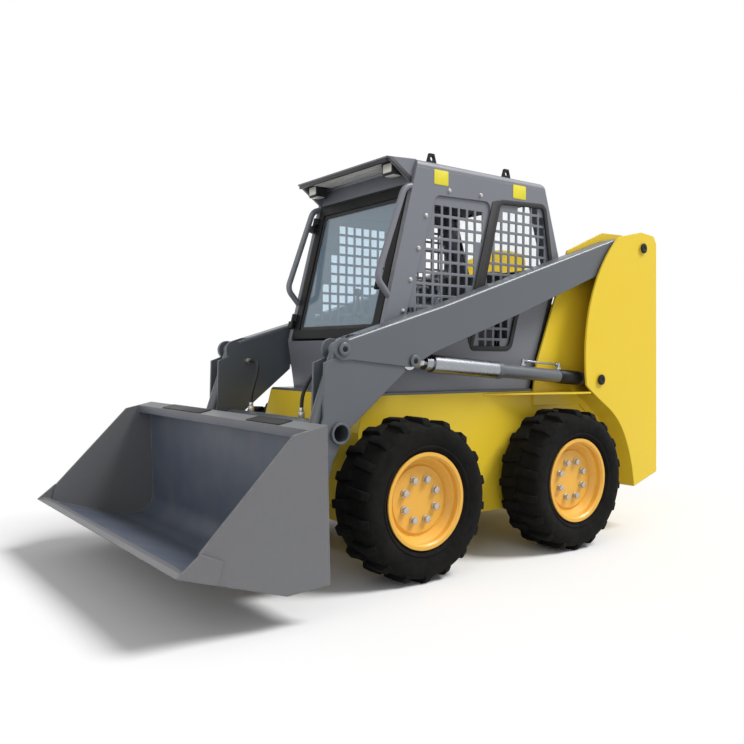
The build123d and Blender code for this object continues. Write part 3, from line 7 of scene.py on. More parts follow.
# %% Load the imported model
import json
import math

import bmesh
import bpy
from mathutils import Matrix, Vector


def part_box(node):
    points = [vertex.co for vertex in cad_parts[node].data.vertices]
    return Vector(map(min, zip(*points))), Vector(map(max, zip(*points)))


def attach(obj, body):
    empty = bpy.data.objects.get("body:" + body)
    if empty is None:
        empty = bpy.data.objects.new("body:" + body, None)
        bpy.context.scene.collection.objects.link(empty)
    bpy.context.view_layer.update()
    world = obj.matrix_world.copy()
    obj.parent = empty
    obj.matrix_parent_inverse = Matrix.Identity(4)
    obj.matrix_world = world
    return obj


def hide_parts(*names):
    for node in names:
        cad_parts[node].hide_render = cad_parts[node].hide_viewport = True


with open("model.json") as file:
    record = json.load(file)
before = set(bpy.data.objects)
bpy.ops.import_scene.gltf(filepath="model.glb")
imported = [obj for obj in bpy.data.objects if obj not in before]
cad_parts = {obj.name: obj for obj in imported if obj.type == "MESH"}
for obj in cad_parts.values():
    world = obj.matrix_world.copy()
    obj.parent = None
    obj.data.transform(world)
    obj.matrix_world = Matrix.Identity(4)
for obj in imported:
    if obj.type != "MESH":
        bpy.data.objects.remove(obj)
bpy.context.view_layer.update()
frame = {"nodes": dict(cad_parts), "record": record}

nodes = frame["nodes"]
scene = bpy.context.scene
scene.view_settings.view_transform = "Standard"

# %% [markdown]
# ## Helpers
# The camera, the lamps and every new piece are objects in the scene. Looks are trees of shader
# nodes. Each input of a node is fed with a plain value or with the socket of another node.

# %% Objects and shader nodes


def add_object(name, data):
    """A new object in the scene."""
    thing = bpy.data.objects.new(name, data)
    scene.collection.objects.link(thing)
    return thing


def to_mesh(bm, name):
    """A new mesh from a bmesh, which is then freed."""
    mesh = bpy.data.meshes.new(name)
    bm.to_mesh(mesh)
    bm.free()
    return mesh


def feed(tree, node, inputs):
    """Links sockets to a node's inputs, or writes plain values on them."""
    for key, value in inputs.items():
        if isinstance(value, bpy.types.NodeSocket):
            tree.links.new(value, node.inputs[key])
        else:
            node.inputs[key].default_value = value


def add_node(tree, kind, inputs, operation=None):
    """A new shader node, with its inputs fed by name or number."""
    node = tree.nodes.new("ShaderNode" + kind)
    if operation:
        node.operation = operation
    feed(tree, node, inputs)
    return node


def maths(tree, operation, first, second):
    """A Math node. Each input is a socket or a number."""
    return add_node(tree, "Math", {0: first, 1: second}, operation).outputs[0]


def remap(tree, value, low, high, to_low=0.0, to_high=1.0):
    """A Map Range node from one span to another, clamped."""
    spans = {"Value": value, "From Min": low, "From Max": high, "To Min": to_low, "To Max": to_high}
    return add_node(tree, "MapRange", spans).outputs[0]


def blend_colours(tree, factor, first, second, mode="MIX"):
    """A colour Mix node. Each colour is a socket or four numbers."""
    node = tree.nodes.new("ShaderNodeMix")
    node.data_type = "RGBA"
    node.blend_type = mode
    slots = [i for i, slot in enumerate(node.inputs) if slot.enabled]
    feed(tree, node, dict(zip(slots, (factor, first, second))))
    return next(slot for slot in node.outputs if slot.enabled)


def noise(tree, where, scale, detail=4.0):
    """A Noise Texture on object coordinates."""
    return add_node(tree, "TexNoise", {"Vector": where, "Scale": scale, "Detail": detail}).outputs["Fac"]


def object_point(tree):
    """The Object output of a Texture Coordinate node."""
    return tree.nodes.new("ShaderNodeTexCoord").outputs["Object"]


def seen_directly(tree):
    """1 for rays from the camera, reflections and views through glass, and 0 for other light."""
    path = tree.nodes.new("ShaderNodeLightPath")
    seen = path.outputs["Is Camera Ray"]
    for kind in ("Is Glossy Ray", "Is Transmission Ray"):
        seen = maths(tree, "MAXIMUM", seen, path.outputs[kind])
    return seen


# %% [markdown]
# ## The camera
# The photograph was taken from the machine's front left, at about chest height and a few steps
# away. The place, the direction and the lens were worked out from the wheels, whose rims are
# circles of a known size. A camera looks down its own -Z axis, so its matrix is built from three
# axes: right, up and back.

# %% Place the camera
CAMERA_PLACE = Vector((2.6715, 3.4078, 1.0284))
CAMERA_YAW = math.radians(-126.686)
CAMERA_PITCH = math.radians(-1.144)
CAMERA_ROLL = math.radians(0.323)
CAMERA_LENS = 37.98
SENSOR = 36.0

look = Vector((
    math.cos(CAMERA_PITCH) * math.cos(CAMERA_YAW),
    math.cos(CAMERA_PITCH) * math.sin(CAMERA_YAW),
    math.sin(CAMERA_PITCH),
))
level_right = look.cross(Vector((0, 0, 1))).normalized()
level_up = level_right.cross(look)
right = math.cos(CAMERA_ROLL) * level_right + math.sin(CAMERA_ROLL) * level_up
up = math.cos(CAMERA_ROLL) * level_up - math.sin(CAMERA_ROLL) * level_right
camera_data = bpy.data.cameras.new("photo_camera")
camera_data.sensor_width = SENSOR
camera_data.lens = CAMERA_LENS
camera = add_object("photo_camera", camera_data)
camera.matrix_world = Matrix.Translation(CAMERA_PLACE) @ Matrix((right, up, -look)).transposed().to_4x4()
scene.camera = camera
print("camera looks along", [round(c, 3) for c in look])

# %% [markdown]
# ## Light and floor
# The photograph is a cut-out on white. The shadow of the bucket's top flange falls forward and
# down inside the bucket, so the light comes from above, behind and the machine's left. A sun lamp
# with a wide disc gives that, with soft edges. A much weaker and wider one fills the shade from
# the front. The world is white to the camera, to reflections and through glass, but lights the
# object much less.

# %% World and suns
WORLD_LIGHT = 0.42
SUNS = {
    "key_sun": (Vector((-0.46, 0.42, 0.78)), 3.0, math.radians(24)),
    "fill_sun": (Vector((0.82, 0.42, 0.39)), 0.9, math.radians(70)),
}


def make_world():
    """A white surround for the camera, glass and metal, and a dim even light for the rest."""
    world = bpy.data.worlds.new("white_room")
    world.use_nodes = True
    tree = world.node_tree
    tree.nodes.clear()
    strength = remap(tree, seen_directly(tree), 0.0, 1.0, WORLD_LIGHT)
    back = add_node(tree, "Background", {"Color": (1, 1, 1, 1), "Strength": strength})
    add_node(tree, "OutputWorld", {"Surface": back.outputs[0]})
    scene.world = world


def make_sun(name, source, power, width):
    """A sun lamp that shines from a direction, with a disc so wide."""
    data = bpy.data.lights.new(name, "SUN")
    data.energy = power
    data.angle = width
    sun = add_object(name, data)
    sun.rotation_euler = (-source).to_track_quat("-Z", "Y").to_euler()


make_world()
for sun_name, values in SUNS.items():
    make_sun(sun_name, *values)

# %% A floor that takes the machine's shadow
FLOOR_HALF = 40.0
sheet = bmesh.new()
bmesh.ops.create_grid(sheet, x_segments=1, y_segments=1, size=FLOOR_HALF)
floor = add_object("studio_floor", to_mesh(sheet, "studio_floor"))
print("world, suns and floor made")

# %% [markdown]
# ## Shared effects as node groups
# Every painted panel wears in the same way: a little colour change over the sheet, fine orange
# peel, bare metal on corners, and dust near the ground. That is one node group with named inputs,
# so that each finish sets only its own amounts. The Bevel node looks at the faces nearby and
# gives a rounded normal, which shows where the corners are and makes CAD edges catch light.

# %% The paint group
BROAD_NOISE = (2.3, 5.0)
FINE_NOISE = (38.0, 6.0)
PEEL_NOISE = (420.0, 2.0)
MOST_NOISE = (0.3, 0.7)
DRIFT_TONE = (0.25, 0.22, 0.2, 1.0)
DRIFT_AMOUNT = (0.0, 0.12)
CHIP_NOISE = (0.5, 0.62)
UNEVEN_ROUGHNESS = (-0.05, 0.07)
PEEL_HEIGHT = 0.5
CORNER_RADIUS = 0.005
CORNER_SAMPLES = 6
CORNER_TURN = (0.99, 0.8)
DUST_HEIGHTS = (1.1, 0.1)
DUST_SPECKLE = (0.8, 1.25, 0.1)
DUST_ROUGHNESS = 0.45


def new_group(name, inputs, outputs):
    """An empty shader node group with these sockets."""
    group = bpy.data.node_groups.new(name, "ShaderNodeTree")
    for socket, kind in inputs.items():
        group.interface.new_socket(socket, in_out="INPUT", socket_type="NodeSocket" + kind)
    for socket, kind in outputs.items():
        group.interface.new_socket(socket, in_out="OUTPUT", socket_type="NodeSocket" + kind)
    return group, group.nodes.new("NodeGroupInput").outputs, group.nodes.new("NodeGroupOutput")


def paint_wear_group():
    """Paint over steel: colour drift, orange peel, bare corners and dust low down."""
    group, given, target = new_group(
        "paint_wear",
        {"Paint": "Color", "Bare": "Color", "Dust": "Color", "Edge Wear": "Float", "Dust Amount": "Float",
         "Base Roughness": "Float"},
        {"Color": "Color", "Roughness": "Float", "Height": "Float", "Round Normal": "Vector"},
    )
    where = object_point(group)
    broad = noise(group, where, *BROAD_NOISE)
    fine = noise(group, where, *FINE_NOISE)
    peel = noise(group, where, *PEEL_NOISE)
    drift = remap(group, broad, *MOST_NOISE, *DRIFT_AMOUNT)
    paint = blend_colours(group, drift, given["Paint"], DRIFT_TONE, "SOFT_LIGHT")
    bevel = add_node(group, "Bevel", {"Radius": CORNER_RADIUS})
    bevel.samples = CORNER_SAMPLES
    rounded = bevel.outputs[0]
    plain = group.nodes.new("ShaderNodeNewGeometry").outputs["Normal"]
    facing = add_node(group, "VectorMath", {0: rounded, 1: plain}, "DOT_PRODUCT")
    corner = remap(group, facing.outputs["Value"], *CORNER_TURN)
    chipped = maths(group, "MULTIPLY", corner, remap(group, fine, *CHIP_NOISE))
    worn = maths(group, "MULTIPLY", chipped, given["Edge Wear"])
    metal = blend_colours(group, worn, paint, given["Bare"])
    height = add_node(group, "SeparateXYZ", {0: where}).outputs["Z"]
    low = remap(group, height, *DUST_HEIGHTS)
    speckle = remap(group, maths(group, "ADD", broad, fine), *DUST_SPECKLE)
    dusty = maths(group, "MULTIPLY", maths(group, "MULTIPLY", low, speckle), given["Dust Amount"])
    uneven = remap(group, broad, *MOST_NOISE, *UNEVEN_ROUGHNESS)
    rough = maths(group, "ADD", given["Base Roughness"], uneven)
    feed(group, target, {
        "Color": blend_colours(group, dusty, metal, given["Dust"]),
        "Roughness": maths(group, "ADD", rough, maths(group, "MULTIPLY", dusty, DUST_ROUGHNESS)),
        "Height": maths(group, "MULTIPLY", peel, PEEL_HEIGHT),
        "Round Normal": rounded,
    })
    return group


PAINT_WEAR = paint_wear_group()
print("node group:", PAINT_WEAR.name)

# %% [markdown]
# ## Finishes
# Each finish of the machine is one material. The Principled shader stays in the material itself,
# and the group feeds only what changes over the surface. The body is yellow enamel, the arms are
# a dark blue grey, the cab is a lighter grey, the bucket is a plainer grey that has rubbed through
# at its edges, with painted shade inside it, and the wheel rims are a warmer yellow.

# %% Painted finishes


def new_material(name):
    """A material with only a Principled shader and an output."""
    material = bpy.data.materials.new(name)
    material.use_nodes = True
    tree = material.node_tree
    tree.nodes.clear()
    shader = tree.nodes.new("ShaderNodeBsdfPrincipled")
    add_node(tree, "OutputMaterial", {"Surface": shader.outputs[0]})
    return material, tree, shader


def end_in_mix(tree, factor, first, second):
    """Ends a material in a mix of two shaders instead of one."""
    mix = add_node(tree, "MixShader", {0: factor, 1: first.outputs[0], 2: second.outputs[0]})
    out = next(n for n in tree.nodes if n.type == "OUTPUT_MATERIAL")
    feed(tree, out, {"Surface": mix.outputs[0]})


def bump(tree, height, strength, distance, **base):
    """The normal of a Bump node, over the plain normal or another one."""
    inputs = {"Strength": strength, "Distance": distance, "Height": height, **base}
    return add_node(tree, "Bump", inputs).outputs[0]


BARE_STEEL = (0.30, 0.29, 0.28, 1.0)
DUST = (0.33, 0.27, 0.20, 1.0)
COAT_ROUGHNESS = 0.12
PEEL_STRENGTH = 0.12
PEEL_DEPTH = 0.0006


def painted(name, colour, edge_wear, dust, rough, coat, shine=0.5):
    """Enamel over steel, through the paint group."""
    material, tree, shader = new_material(name)
    wear = tree.nodes.new("ShaderNodeGroup")
    wear.node_tree = PAINT_WEAR
    feed(tree, wear, {"Paint": (*colour, 1.0), "Bare": BARE_STEEL, "Dust": DUST, "Edge Wear": edge_wear,
                      "Dust Amount": dust, "Base Roughness": rough})
    made = wear.outputs
    feed(tree, shader, {
        "Base Color": made["Color"],
        "Roughness": made["Roughness"],
        "Specular IOR Level": shine,
        "Coat Weight": coat,
        "Coat Roughness": COAT_ROUGHNESS,
        "Normal": bump(tree, made["Height"], PEEL_STRENGTH, PEEL_DEPTH, Normal=made["Round Normal"]),
    })
    return material


# The inside of the bucket, which faces forward and up, is painted a darker blue grey: painted shade, for
# the shade that its own walls and flange cast.
BUCKET_FACING = (0.8, 0.0, 0.6)
BUCKET_ENDS = (0.885, 0.897)
BUCKET_TOP = (0.715, 0.740)
SHADE_NOISE = (7.0, 6.0)
SHADE_FACING = (0.1, 0.3)
SHADE_PATCHES = (0.25, 0.6, 0.55)


def painted_bucket_shade(material, colour):
    """Paints shade into the inside of the bucket, in uneven patches: a darker blue grey where it faces
    forward and up, inside the ends and below the top.
    """
    tree = material.node_tree
    shader = next(n for n in tree.nodes if n.type == "BSDF_PRINCIPLED")
    paint = shader.inputs["Base Color"].links[0].from_socket
    point = tree.nodes.new("ShaderNodeTexCoord").outputs
    facing = add_node(tree, "VectorMath", {0: point["Normal"], 1: BUCKET_FACING}, "DOT_PRODUCT")
    split = add_node(tree, "SeparateXYZ", {0: point["Object"]})
    shade_mask = remap(tree, facing.outputs["Value"], *SHADE_FACING)
    for part in (
        remap(tree, maths(tree, "ABSOLUTE", split.outputs["Y"], 0.0), *BUCKET_ENDS, 1.0, 0.0),
        remap(tree, split.outputs["Z"], *BUCKET_TOP, 1.0, 0.0),
        remap(tree, noise(tree, point["Object"], *SHADE_NOISE), *SHADE_PATCHES),
    ):
        shade_mask = maths(tree, "MULTIPLY", shade_mask, part)
    feed(tree, shader, {"Base Color": blend_colours(tree, shade_mask, paint, (*colour, 1.0))})
    return material


BUCKET_GREY = ((0.128, 0.131, 0.141), 0.6, 0.06, 0.46, 0.05)
# The colour of the painted shade inside the bucket.
BUCKET_SHADE_BLUE = (0.066, 0.082, 0.116)
# In each row: colour, edge wear, dust, roughness, coat and, where it isn't 0.5, shine.
FINISH = {
    "yellow_paint": painted("yellow_enamel", (0.78, 0.56, 0.030), 0.10, 0.05, 0.40, 0.10, 0.3),
    "dark_grey_paint": painted("dark_grey_enamel", (0.088, 0.099, 0.113), 0.25, 0.06, 0.40, 0.25),
    "cab_grey": painted("cab_grey_enamel", (0.165, 0.174, 0.200), 0.15, 0.05, 0.42, 0.15),
    "black_paint": painted("black_enamel", (0.008, 0.0085, 0.0095), 0.15, 0.05, 0.5, 0.0, 0.2),
    "bucket_paint": painted("edge_enamel", *BUCKET_GREY),
    # The bucket's shell takes painted shade inside it.
    "bucket_shell": painted_bucket_shade(painted("bucket_enamel", *BUCKET_GREY), BUCKET_SHADE_BLUE),
    "rim_paint": painted("rim_enamel", (0.78, 0.42, 0.055), 0.15, 0.06, 0.40, 0.15, 0.35),
}
print("painted finishes:", sorted(FINISH))

# %% [markdown]
# Rubber, bare metal, glass, lamp lenses, seat cover and moulded plastic are not paint, so each
# kind has its own small tree. Rubber is dark and rough with dust in it. A hydraulic rod is hard
# chrome. The cab's glass has a blue tint and some haze, so part of it scatters light, and shadow
# rays go straight through it so that the cab isn't dark inside.

# %% Other finishes
RUBBER_BLACK = (0.0042, 0.0040, 0.0038, 1.0)
RUBBER_BLOOM = (0.010, 0.0092, 0.0082, 1.0)
RUBBER_SHINE = 0.14
RUBBER_ROUGHNESS = (0.78, 0.95)
RUBBER_BUMP = (0.25, 0.001)
BLOOM_SPREAD = (0.42, 0.7, 0.0, 0.55)
METAL_SHADE = 0.92
METAL_MARKS = (0.35, 0.65)
METAL_BUMP = (0.02, 0.0001)
GLASS_IOR = 1.45
GLASS_SMEARS = (0.4, 0.75)
HAZE = 0.04
PLASTIC_SHADE = 0.82
PLASTIC_UNEVEN = 0.12
PORE_STRENGTH = 0.3


def two_tone(tree, factor, colour, shade):
    """A colour that turns a little darker."""
    return blend_colours(tree, factor, (*colour, 1.0), (*[c * shade for c in colour], 1.0))


def rubber():
    """Black tyre rubber with a dusty bloom."""
    material, tree, shader = new_material("tyre_rubber")
    where = object_point(tree)
    bloom = remap(tree, noise(tree, where, 9.0, 6.0), *BLOOM_SPREAD)
    feed(tree, shader, {
        "Base Color": blend_colours(tree, bloom, RUBBER_BLACK, RUBBER_BLOOM),
        "Roughness": remap(tree, noise(tree, where, 30.0), *MOST_NOISE, *RUBBER_ROUGHNESS),
        "Specular IOR Level": RUBBER_SHINE,
        "Normal": bump(tree, noise(tree, where, 260.0, 3.0), *RUBBER_BUMP),
    })
    return material


def metal(name, colour, rough_low, rough_high, grain):
    """Bare metal with fine turning marks."""
    material, tree, shader = new_material(name)
    where = object_point(tree)
    marks = noise(tree, where, grain, 5.0)
    feed(tree, shader, {
        "Base Color": two_tone(tree, remap(tree, marks, *METAL_MARKS), colour, METAL_SHADE),
        "Roughness": remap(tree, marks, *MOST_NOISE, rough_low, rough_high),
        "Metallic": 1.0,
        "Normal": bump(tree, noise(tree, where, grain * 4.0, 2.0), *METAL_BUMP),
    })
    return material


def glass(name, colour, rough, clear):
    """Tinted sheet glass that lets light through to what is behind it."""
    material, tree, shader = new_material(name)
    smears = noise(tree, object_point(tree), 6.0, 5.0)
    feed(tree, shader, {
        "Roughness": remap(tree, smears, *GLASS_SMEARS, rough, rough + HAZE),
        "Base Color": (*colour, 1.0),
        "Transmission Weight": clear,
        "IOR": GLASS_IOR,
    })
    through = add_node(tree, "BsdfTransparent", {"Color": (*colour, 1.0)})
    shadow = tree.nodes.new("ShaderNodeLightPath").outputs["Is Shadow Ray"]
    end_in_mix(tree, shadow, shader, through)
    return material


def moulded(name, colour, rough, grain, depth):
    """Moulded plastic or vinyl with a fine grain."""
    material, tree, shader = new_material(name)
    where = object_point(tree)
    drift = remap(tree, noise(tree, where, 5.0), *MOST_NOISE)
    pores = add_node(tree, "TexVoronoi", {"Scale": grain, "Vector": where})
    feed(tree, shader, {
        "Base Color": two_tone(tree, drift, colour, PLASTIC_SHADE),
        "Roughness": remap(tree, drift, 0.0, 1.0, rough, rough + PLASTIC_UNEVEN),
        "Normal": bump(tree, pores.outputs["Distance"], PORE_STRENGTH, depth),
    })
    return material


# Metal: colour, least and most roughness, grain. Glass: colour, roughness, how clear it is.
# Moulded: colour, roughness, grain and its depth.
FINISH.update({
    "tyre_rubber": rubber(),
    "bright_tube": metal("bright_tube", (0.34, 0.354, 0.382), 0.26, 0.32, 40.0),
    "rod_chrome": metal("rod_chrome", (0.55, 0.56, 0.58), 0.10, 0.16, 60.0),
    "zinc": metal("zinc_plate", (0.50, 0.49, 0.47), 0.34, 0.48, 90.0),
    "engine_iron": metal("engine_iron", (0.12, 0.12, 0.125), 0.5, 0.7, 30.0),
    "window_glass": glass("window_glass", (0.62, 0.77, 0.88), 0.0, 0.84),
    "rear_glass": glass("rear_glass", (0.93, 0.96, 0.96), 0.0, 1.0),
    "tail_lens": glass("tail_lens", (0.80, 0.03, 0.02), 0.08, 0.8),
    "lamp_plastic": moulded("lamp_plastic", (0.02, 0.02, 0.022), 0.4, 260.0, 0.0004),
    "lamp_lens": moulded("lamp_lens", (0.86, 0.84, 0.78), 0.12, 90.0, 0.0015),
    "visor_panel": moulded("visor_panel", (0.82, 0.80, 0.77), 0.45, 200.0, 0.0004),
    "patch_yellow": moulded("patch_yellow", (0.80, 0.70, 0.03), 0.35, 500.0, 0.0002),
    "gasket_rubber": moulded("gasket_rubber", (0.008, 0.008, 0.009), 0.55, 380.0, 0.0004),
    "seat_cover": moulded("seat_vinyl", (0.018, 0.018, 0.02), 0.45, 420.0, 0.0007),
    "console_plastic": moulded("console_plastic", (0.05, 0.05, 0.055), 0.5, 320.0, 0.0005),
})
print("all finishes:", len(FINISH))

# %% [markdown]
# The record says which finish each CAD node takes, so one loop dresses the whole frame. The cab
# is painted a lighter grey than the arms, so its nodes are named, and so are a few others that
# look different in the photograph. The floor is lit white near the machine, where it shows the
# shadow, and fades to plain white further out. Light that bounces off it is kept lower, so that
# the machine isn't lit from below.

# %% Dress the CAD nodes and the floor
CAB_GREY_NODES = ("cab_side_left", "cab_side_right", "cab_roof", "cab_rear_wall", "cab_front_panel",
                  "side_screens", "grab_rails", "visor")
slot_of = {entry["node"]: entry["material_slot"] for entry in frame["record"]["subparts"]}
finish_of = {**slot_of, **{name: "cab_grey" for name in CAB_GREY_NODES}, "cutting_edge": "bucket_paint",
             "bucket_shell": "bucket_shell", "rear_window": "rear_glass"}
for node_name, thing in nodes.items():
    thing.data.materials.clear()
    thing.data.materials.append(FINISH[finish_of[node_name]])

FLOOR_BOUNCE = (0.62, 0.62, 0.62, 1.0)
FLOOR_FADE = (2.4, 5.0)
FLOOR_WHITES = ((0.80, 0.80, 0.80, 1.0), (0.82, 0.82, 0.82, 1.0))
FLOOR_ROUGHNESS = 0.9


def floor_material():
    """White, lit like the rest near the machine, and plain white further out."""
    material, tree, shader = new_material("white_floor")
    where = object_point(tree)
    seen = seen_directly(tree)
    mottle = remap(tree, noise(tree, where, 0.6, 3.0), *MOST_NOISE)
    white = blend_colours(tree, mottle, *FLOOR_WHITES)
    feed(tree, shader, {
        "Base Color": blend_colours(tree, seen, FLOOR_BOUNCE, white),
        "Roughness": FLOOR_ROUGHNESS,
        "Specular IOR Level": 0.0,
    })
    reach = add_node(tree, "VectorMath", {0: where}, "LENGTH")
    far = remap(tree, reach.outputs["Value"], *FLOOR_FADE)
    glow = add_node(tree, "Emission", {"Strength": 1.0})
    end_in_mix(tree, maths(tree, "MULTIPLY", far, seen), shader, glow)
    return material


floor.data.materials.append(floor_material())
print("dressed", len(slot_of), "nodes")

# %% [markdown]
# ## Building pieces
# Each new piece is a bmesh that becomes an object at the origin, with its place in its mesh. It
# rides on a body of the frame and names the finish it takes. Edges sharper than about 35 degrees
# stay sharp and the rest are shaded smooth. Small parts are made one at a time with operators,
# softened with a bevel, and then joined into their piece.

# %% Turn a bmesh into a piece, and join parts
SHARP = math.radians(35)
TURNED_STEPS = 40
HANDS = (1, -1)


def make_piece(name, bm, body, slot, finish=None, replaced=()):
    """Writes a bmesh to an object, gives it its finish, and lets it ride on a body."""
    bmesh.ops.recalc_face_normals(bm, faces=bm.faces)
    for face in bm.faces:
        face.smooth = True
    for edge in bm.edges:
        edge.smooth = len(edge.link_faces) == 2 and edge.calc_face_angle() < SHARP
    mesh = to_mesh(bm, name)
    piece = add_object(name, mesh)
    mesh.materials.append(FINISH[finish or slot])
    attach(piece, body)
    if replaced:
        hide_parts(*replaced)
    print(name, len(mesh.polygons), "faces")


def join(bm, part):
    """Puts a finished part into a piece and frees it."""
    held = to_mesh(part, "part")
    bm.from_mesh(held)
    bpy.data.meshes.remove(held)


def bevel(bm, geom, width, segments, affect, clamp=False):
    """Rounds edges or corners of a part."""
    bmesh.ops.bevel(bm, geom=geom, offset=width, offset_type="OFFSET", affect=affect, segments=segments,
                    profile=0.5, clamp_overlap=clamp, material=-1)


def soften(bm, width):
    """Bevels the sharp edges of a part."""
    edges = [e for e in bm.edges if len(e.link_faces) == 2 and e.calc_face_angle() > SHARP]
    bevel(bm, edges, width, 2, "EDGES", clamp=True)


def draw_out(bm, way):
    """Draws the flat faces of a part out into a solid."""
    grown = bmesh.ops.extrude_face_region(bm, geom=list(bm.faces))
    moved = [v for v in grown["geom"] if isinstance(v, bmesh.types.BMVert)]
    bmesh.ops.translate(bm, verts=moved, vec=way)
    bmesh.ops.recalc_face_normals(bm, faces=bm.faces)


def spin(bm, line, axis, steps):
    """Spins corners and edges a full turn round an axis through the origin."""
    bmesh.ops.spin(bm, geom=line, cent=(0, 0, 0), axis=axis, dvec=(0, 0, 0), angle=2 * math.pi,
                   steps=steps, use_merge=True)


# %% Blocks, rods, bolts, turned parts and plates
# A washer's height and radius, and where the head starts, as shares of the bolt head's own sizes.
WASHER_HEIGHT = 0.25
WASHER_RADIUS = 1.12
HEAD_START = 0.2


def add_block(bm, low, high, width=0.002):
    """A block between two corners, with softened edges."""
    low, high = Vector(low), Vector(high)
    part = bmesh.new()
    bmesh.ops.create_cube(part, size=1.0)
    place = Matrix.Translation((low + high) / 2) @ Matrix.Diagonal((*(high - low), 1.0))
    bmesh.ops.transform(part, matrix=place, verts=part.verts)
    soften(part, width)
    join(bm, part)


def along(start, end):
    """The matrix that lays a part made on the Z axis from one point to another."""
    way = end - start
    return Matrix.Translation(start) @ way.to_track_quat("Z", "Y").to_matrix().to_4x4()


def add_rod(bm, start, end, radius, width=0.001, sides=32):
    """A round or many-sided rod between two points, with softened ends."""
    start, end = Vector(start), Vector(end)
    part = bmesh.new()
    bmesh.ops.create_cone(part, cap_ends=True, segments=sides, radius1=radius, radius2=radius,
                          depth=(end - start).length)
    soften(part, width)
    bmesh.ops.transform(part, matrix=along((start + end) / 2, end), verts=part.verts)
    join(bm, part)


def add_bolt(bm, foot, axis, radius, height):
    """A hexagon head on a washer."""
    foot, axis = Vector(foot), Vector(axis).normalized()
    top = foot + axis * height
    add_rod(bm, foot, foot.lerp(top, WASHER_HEIGHT), radius * WASHER_RADIUS, radius * 0.06, 24)
    add_rod(bm, foot.lerp(top, HEAD_START), top, radius, radius * 0.1, 6)


def add_turned(bm, profile, foot, axis):
    """A turned part: a line of (along, radius) pairs spun round an axis."""
    foot, axis = Vector(foot), Vector(axis).normalized()
    part = bmesh.new()
    line = [part.verts.new((radius, 0, height)) for height, radius in profile]
    edges = [part.edges.new(pair) for pair in zip(line, line[1:])]
    spin(part, line + edges, (0, 0, 1), TURNED_STEPS)
    bmesh.ops.remove_doubles(part, verts=part.verts, dist=1e-6)
    bmesh.ops.recalc_face_normals(part, faces=part.faces)
    bmesh.ops.transform(part, matrix=along(foot, foot + axis), verts=part.verts)
    join(bm, part)


def add_plate(bm, corners, out, depth, radius, ring=0.0, width=0.001):
    """A flat plate with rounded corners, or only a ring of it that is so wide."""
    part = bmesh.new()
    part.faces.new([part.verts.new(corner) for corner in corners])
    bevel(part, list(part.verts), radius, 6, "VERTICES")
    if ring:
        rim = bmesh.ops.inset_region(part, faces=list(part.faces), thickness=ring, use_even_offset=True,
                                      use_boundary=True)["faces"]
        inner = [face for face in part.faces if face not in rim]
        bmesh.ops.delete(part, geom=inner, context="FACES")
    draw_out(part, Vector(out) * depth)
    soften(part, width)
    join(bm, part)


def rectangle(first, second):
    """The four corners of a rectangle between two spans, in turn, as pairs of numbers."""
    return [(first[i], second[j]) for i, j in ((0, 0), (1, 0), (1, 1), (0, 1))]


def upright(pairs, y):
    """X and Z pairs as points of an upright plane across the machine."""
    return [(x, y, z) for x, z in pairs]


def span(node, direction, keep=None):
    """How far a CAD node reaches along a direction, least and most."""
    points = [v.co for v in nodes[node].data.vertices if keep is None or keep(v.co)]
    reach = [point.dot(direction) for point in points]
    return min(reach), max(reach)


# %% [markdown]
# ## Hydraulic hoses
# A rubber hose hangs from a fitting on the inside of each arm and goes down to a fitting on the
# cross tube. It is one smooth spline, straight out of its fittings, so a NURBS curve with a round
# bevel is the natural shape. Both of its ends are on the arm, so it simply rides on the arm.

# %% Two hoses between the arms and the cross tube
HOSE_RADIUS = 0.009
STUB_RADIUS = 0.0115
STUB_LENGTH = 0.030
HOSE_NUT_RADIUS = 0.016
ARM_END = {"root": 0.004, "nut": (-0.009, 0.012)}
TUBE_END = {"root": 0.0, "nut": (-0.022, 0.010)}
HOSE_ROUTE = [
    (0.640, 0.462, 1.000), (0.641, 0.405, 1.000), (0.650, 0.335, 0.995), (0.682, 0.270, 0.945),
    (0.720, 0.250, 0.865), (0.732, 0.250, 0.810), (0.732, 0.250, 0.755),
]


def make_hose(name, route, radius, body):
    """A hose that follows control points."""
    curve = bpy.data.curves.new(name, "CURVE")
    curve.dimensions = "3D"
    spline = curve.splines.new("NURBS")
    spline.points.add(len(route) - 1)
    for point, place in zip(spline.points, route):
        point.co = (*place, 1.0)
    spline.order_u = 3
    spline.use_endpoint_u = True
    spline.resolution_u = 12
    piece = add_object(name, curve)
    bare = bpy.data.meshes.new_from_object(piece)
    bpy.data.meshes.remove(bare)
    curve.bevel_depth = radius
    curve.bevel_resolution = 5
    curve.use_fill_caps = True
    curve.materials.append(FINISH["gasket_rubber"])
    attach(piece, body)


def add_fitting(bm, end, way, root, nut):
    """A stub in the hose's end and a hexagon nut on it. way points into the hose."""
    end, way = Vector(end), Vector(way)
    add_rod(bm, end + way * STUB_LENGTH, end - way * root, STUB_RADIUS)
    add_rod(bm, end + way * nut[1], end + way * nut[0], HOSE_NUT_RADIUS, sides=6)


hose_fittings = bmesh.new()
for hand in HANDS:
    route = [(x, hand * y, z) for x, y, z in HOSE_ROUTE]
    side_name = "left" if hand > 0 else "right"
    make_hose(f"arm_hose_{side_name}", route, HOSE_RADIUS, "loader_arm")
    add_fitting(hose_fittings, route[0], (0, -hand, 0), **ARM_END)
    add_fitting(hose_fittings, route[-1], (0, 0, 1), **TUBE_END)
make_piece("arm_hose_fittings", hose_fittings, "loader_arm", "bright_tube", "zinc")

# %% [markdown]
# ## Tyres
# A CAD tyre is made of flats. The real carcass is round, with a bulged sidewall and a rib near
# the rim, so its section is spun round the axle. The bars of the tread stand on it where the CAD
# bars are: every flat has one, leaning a little, and they reach the outer and the inner shoulder
# in turn.

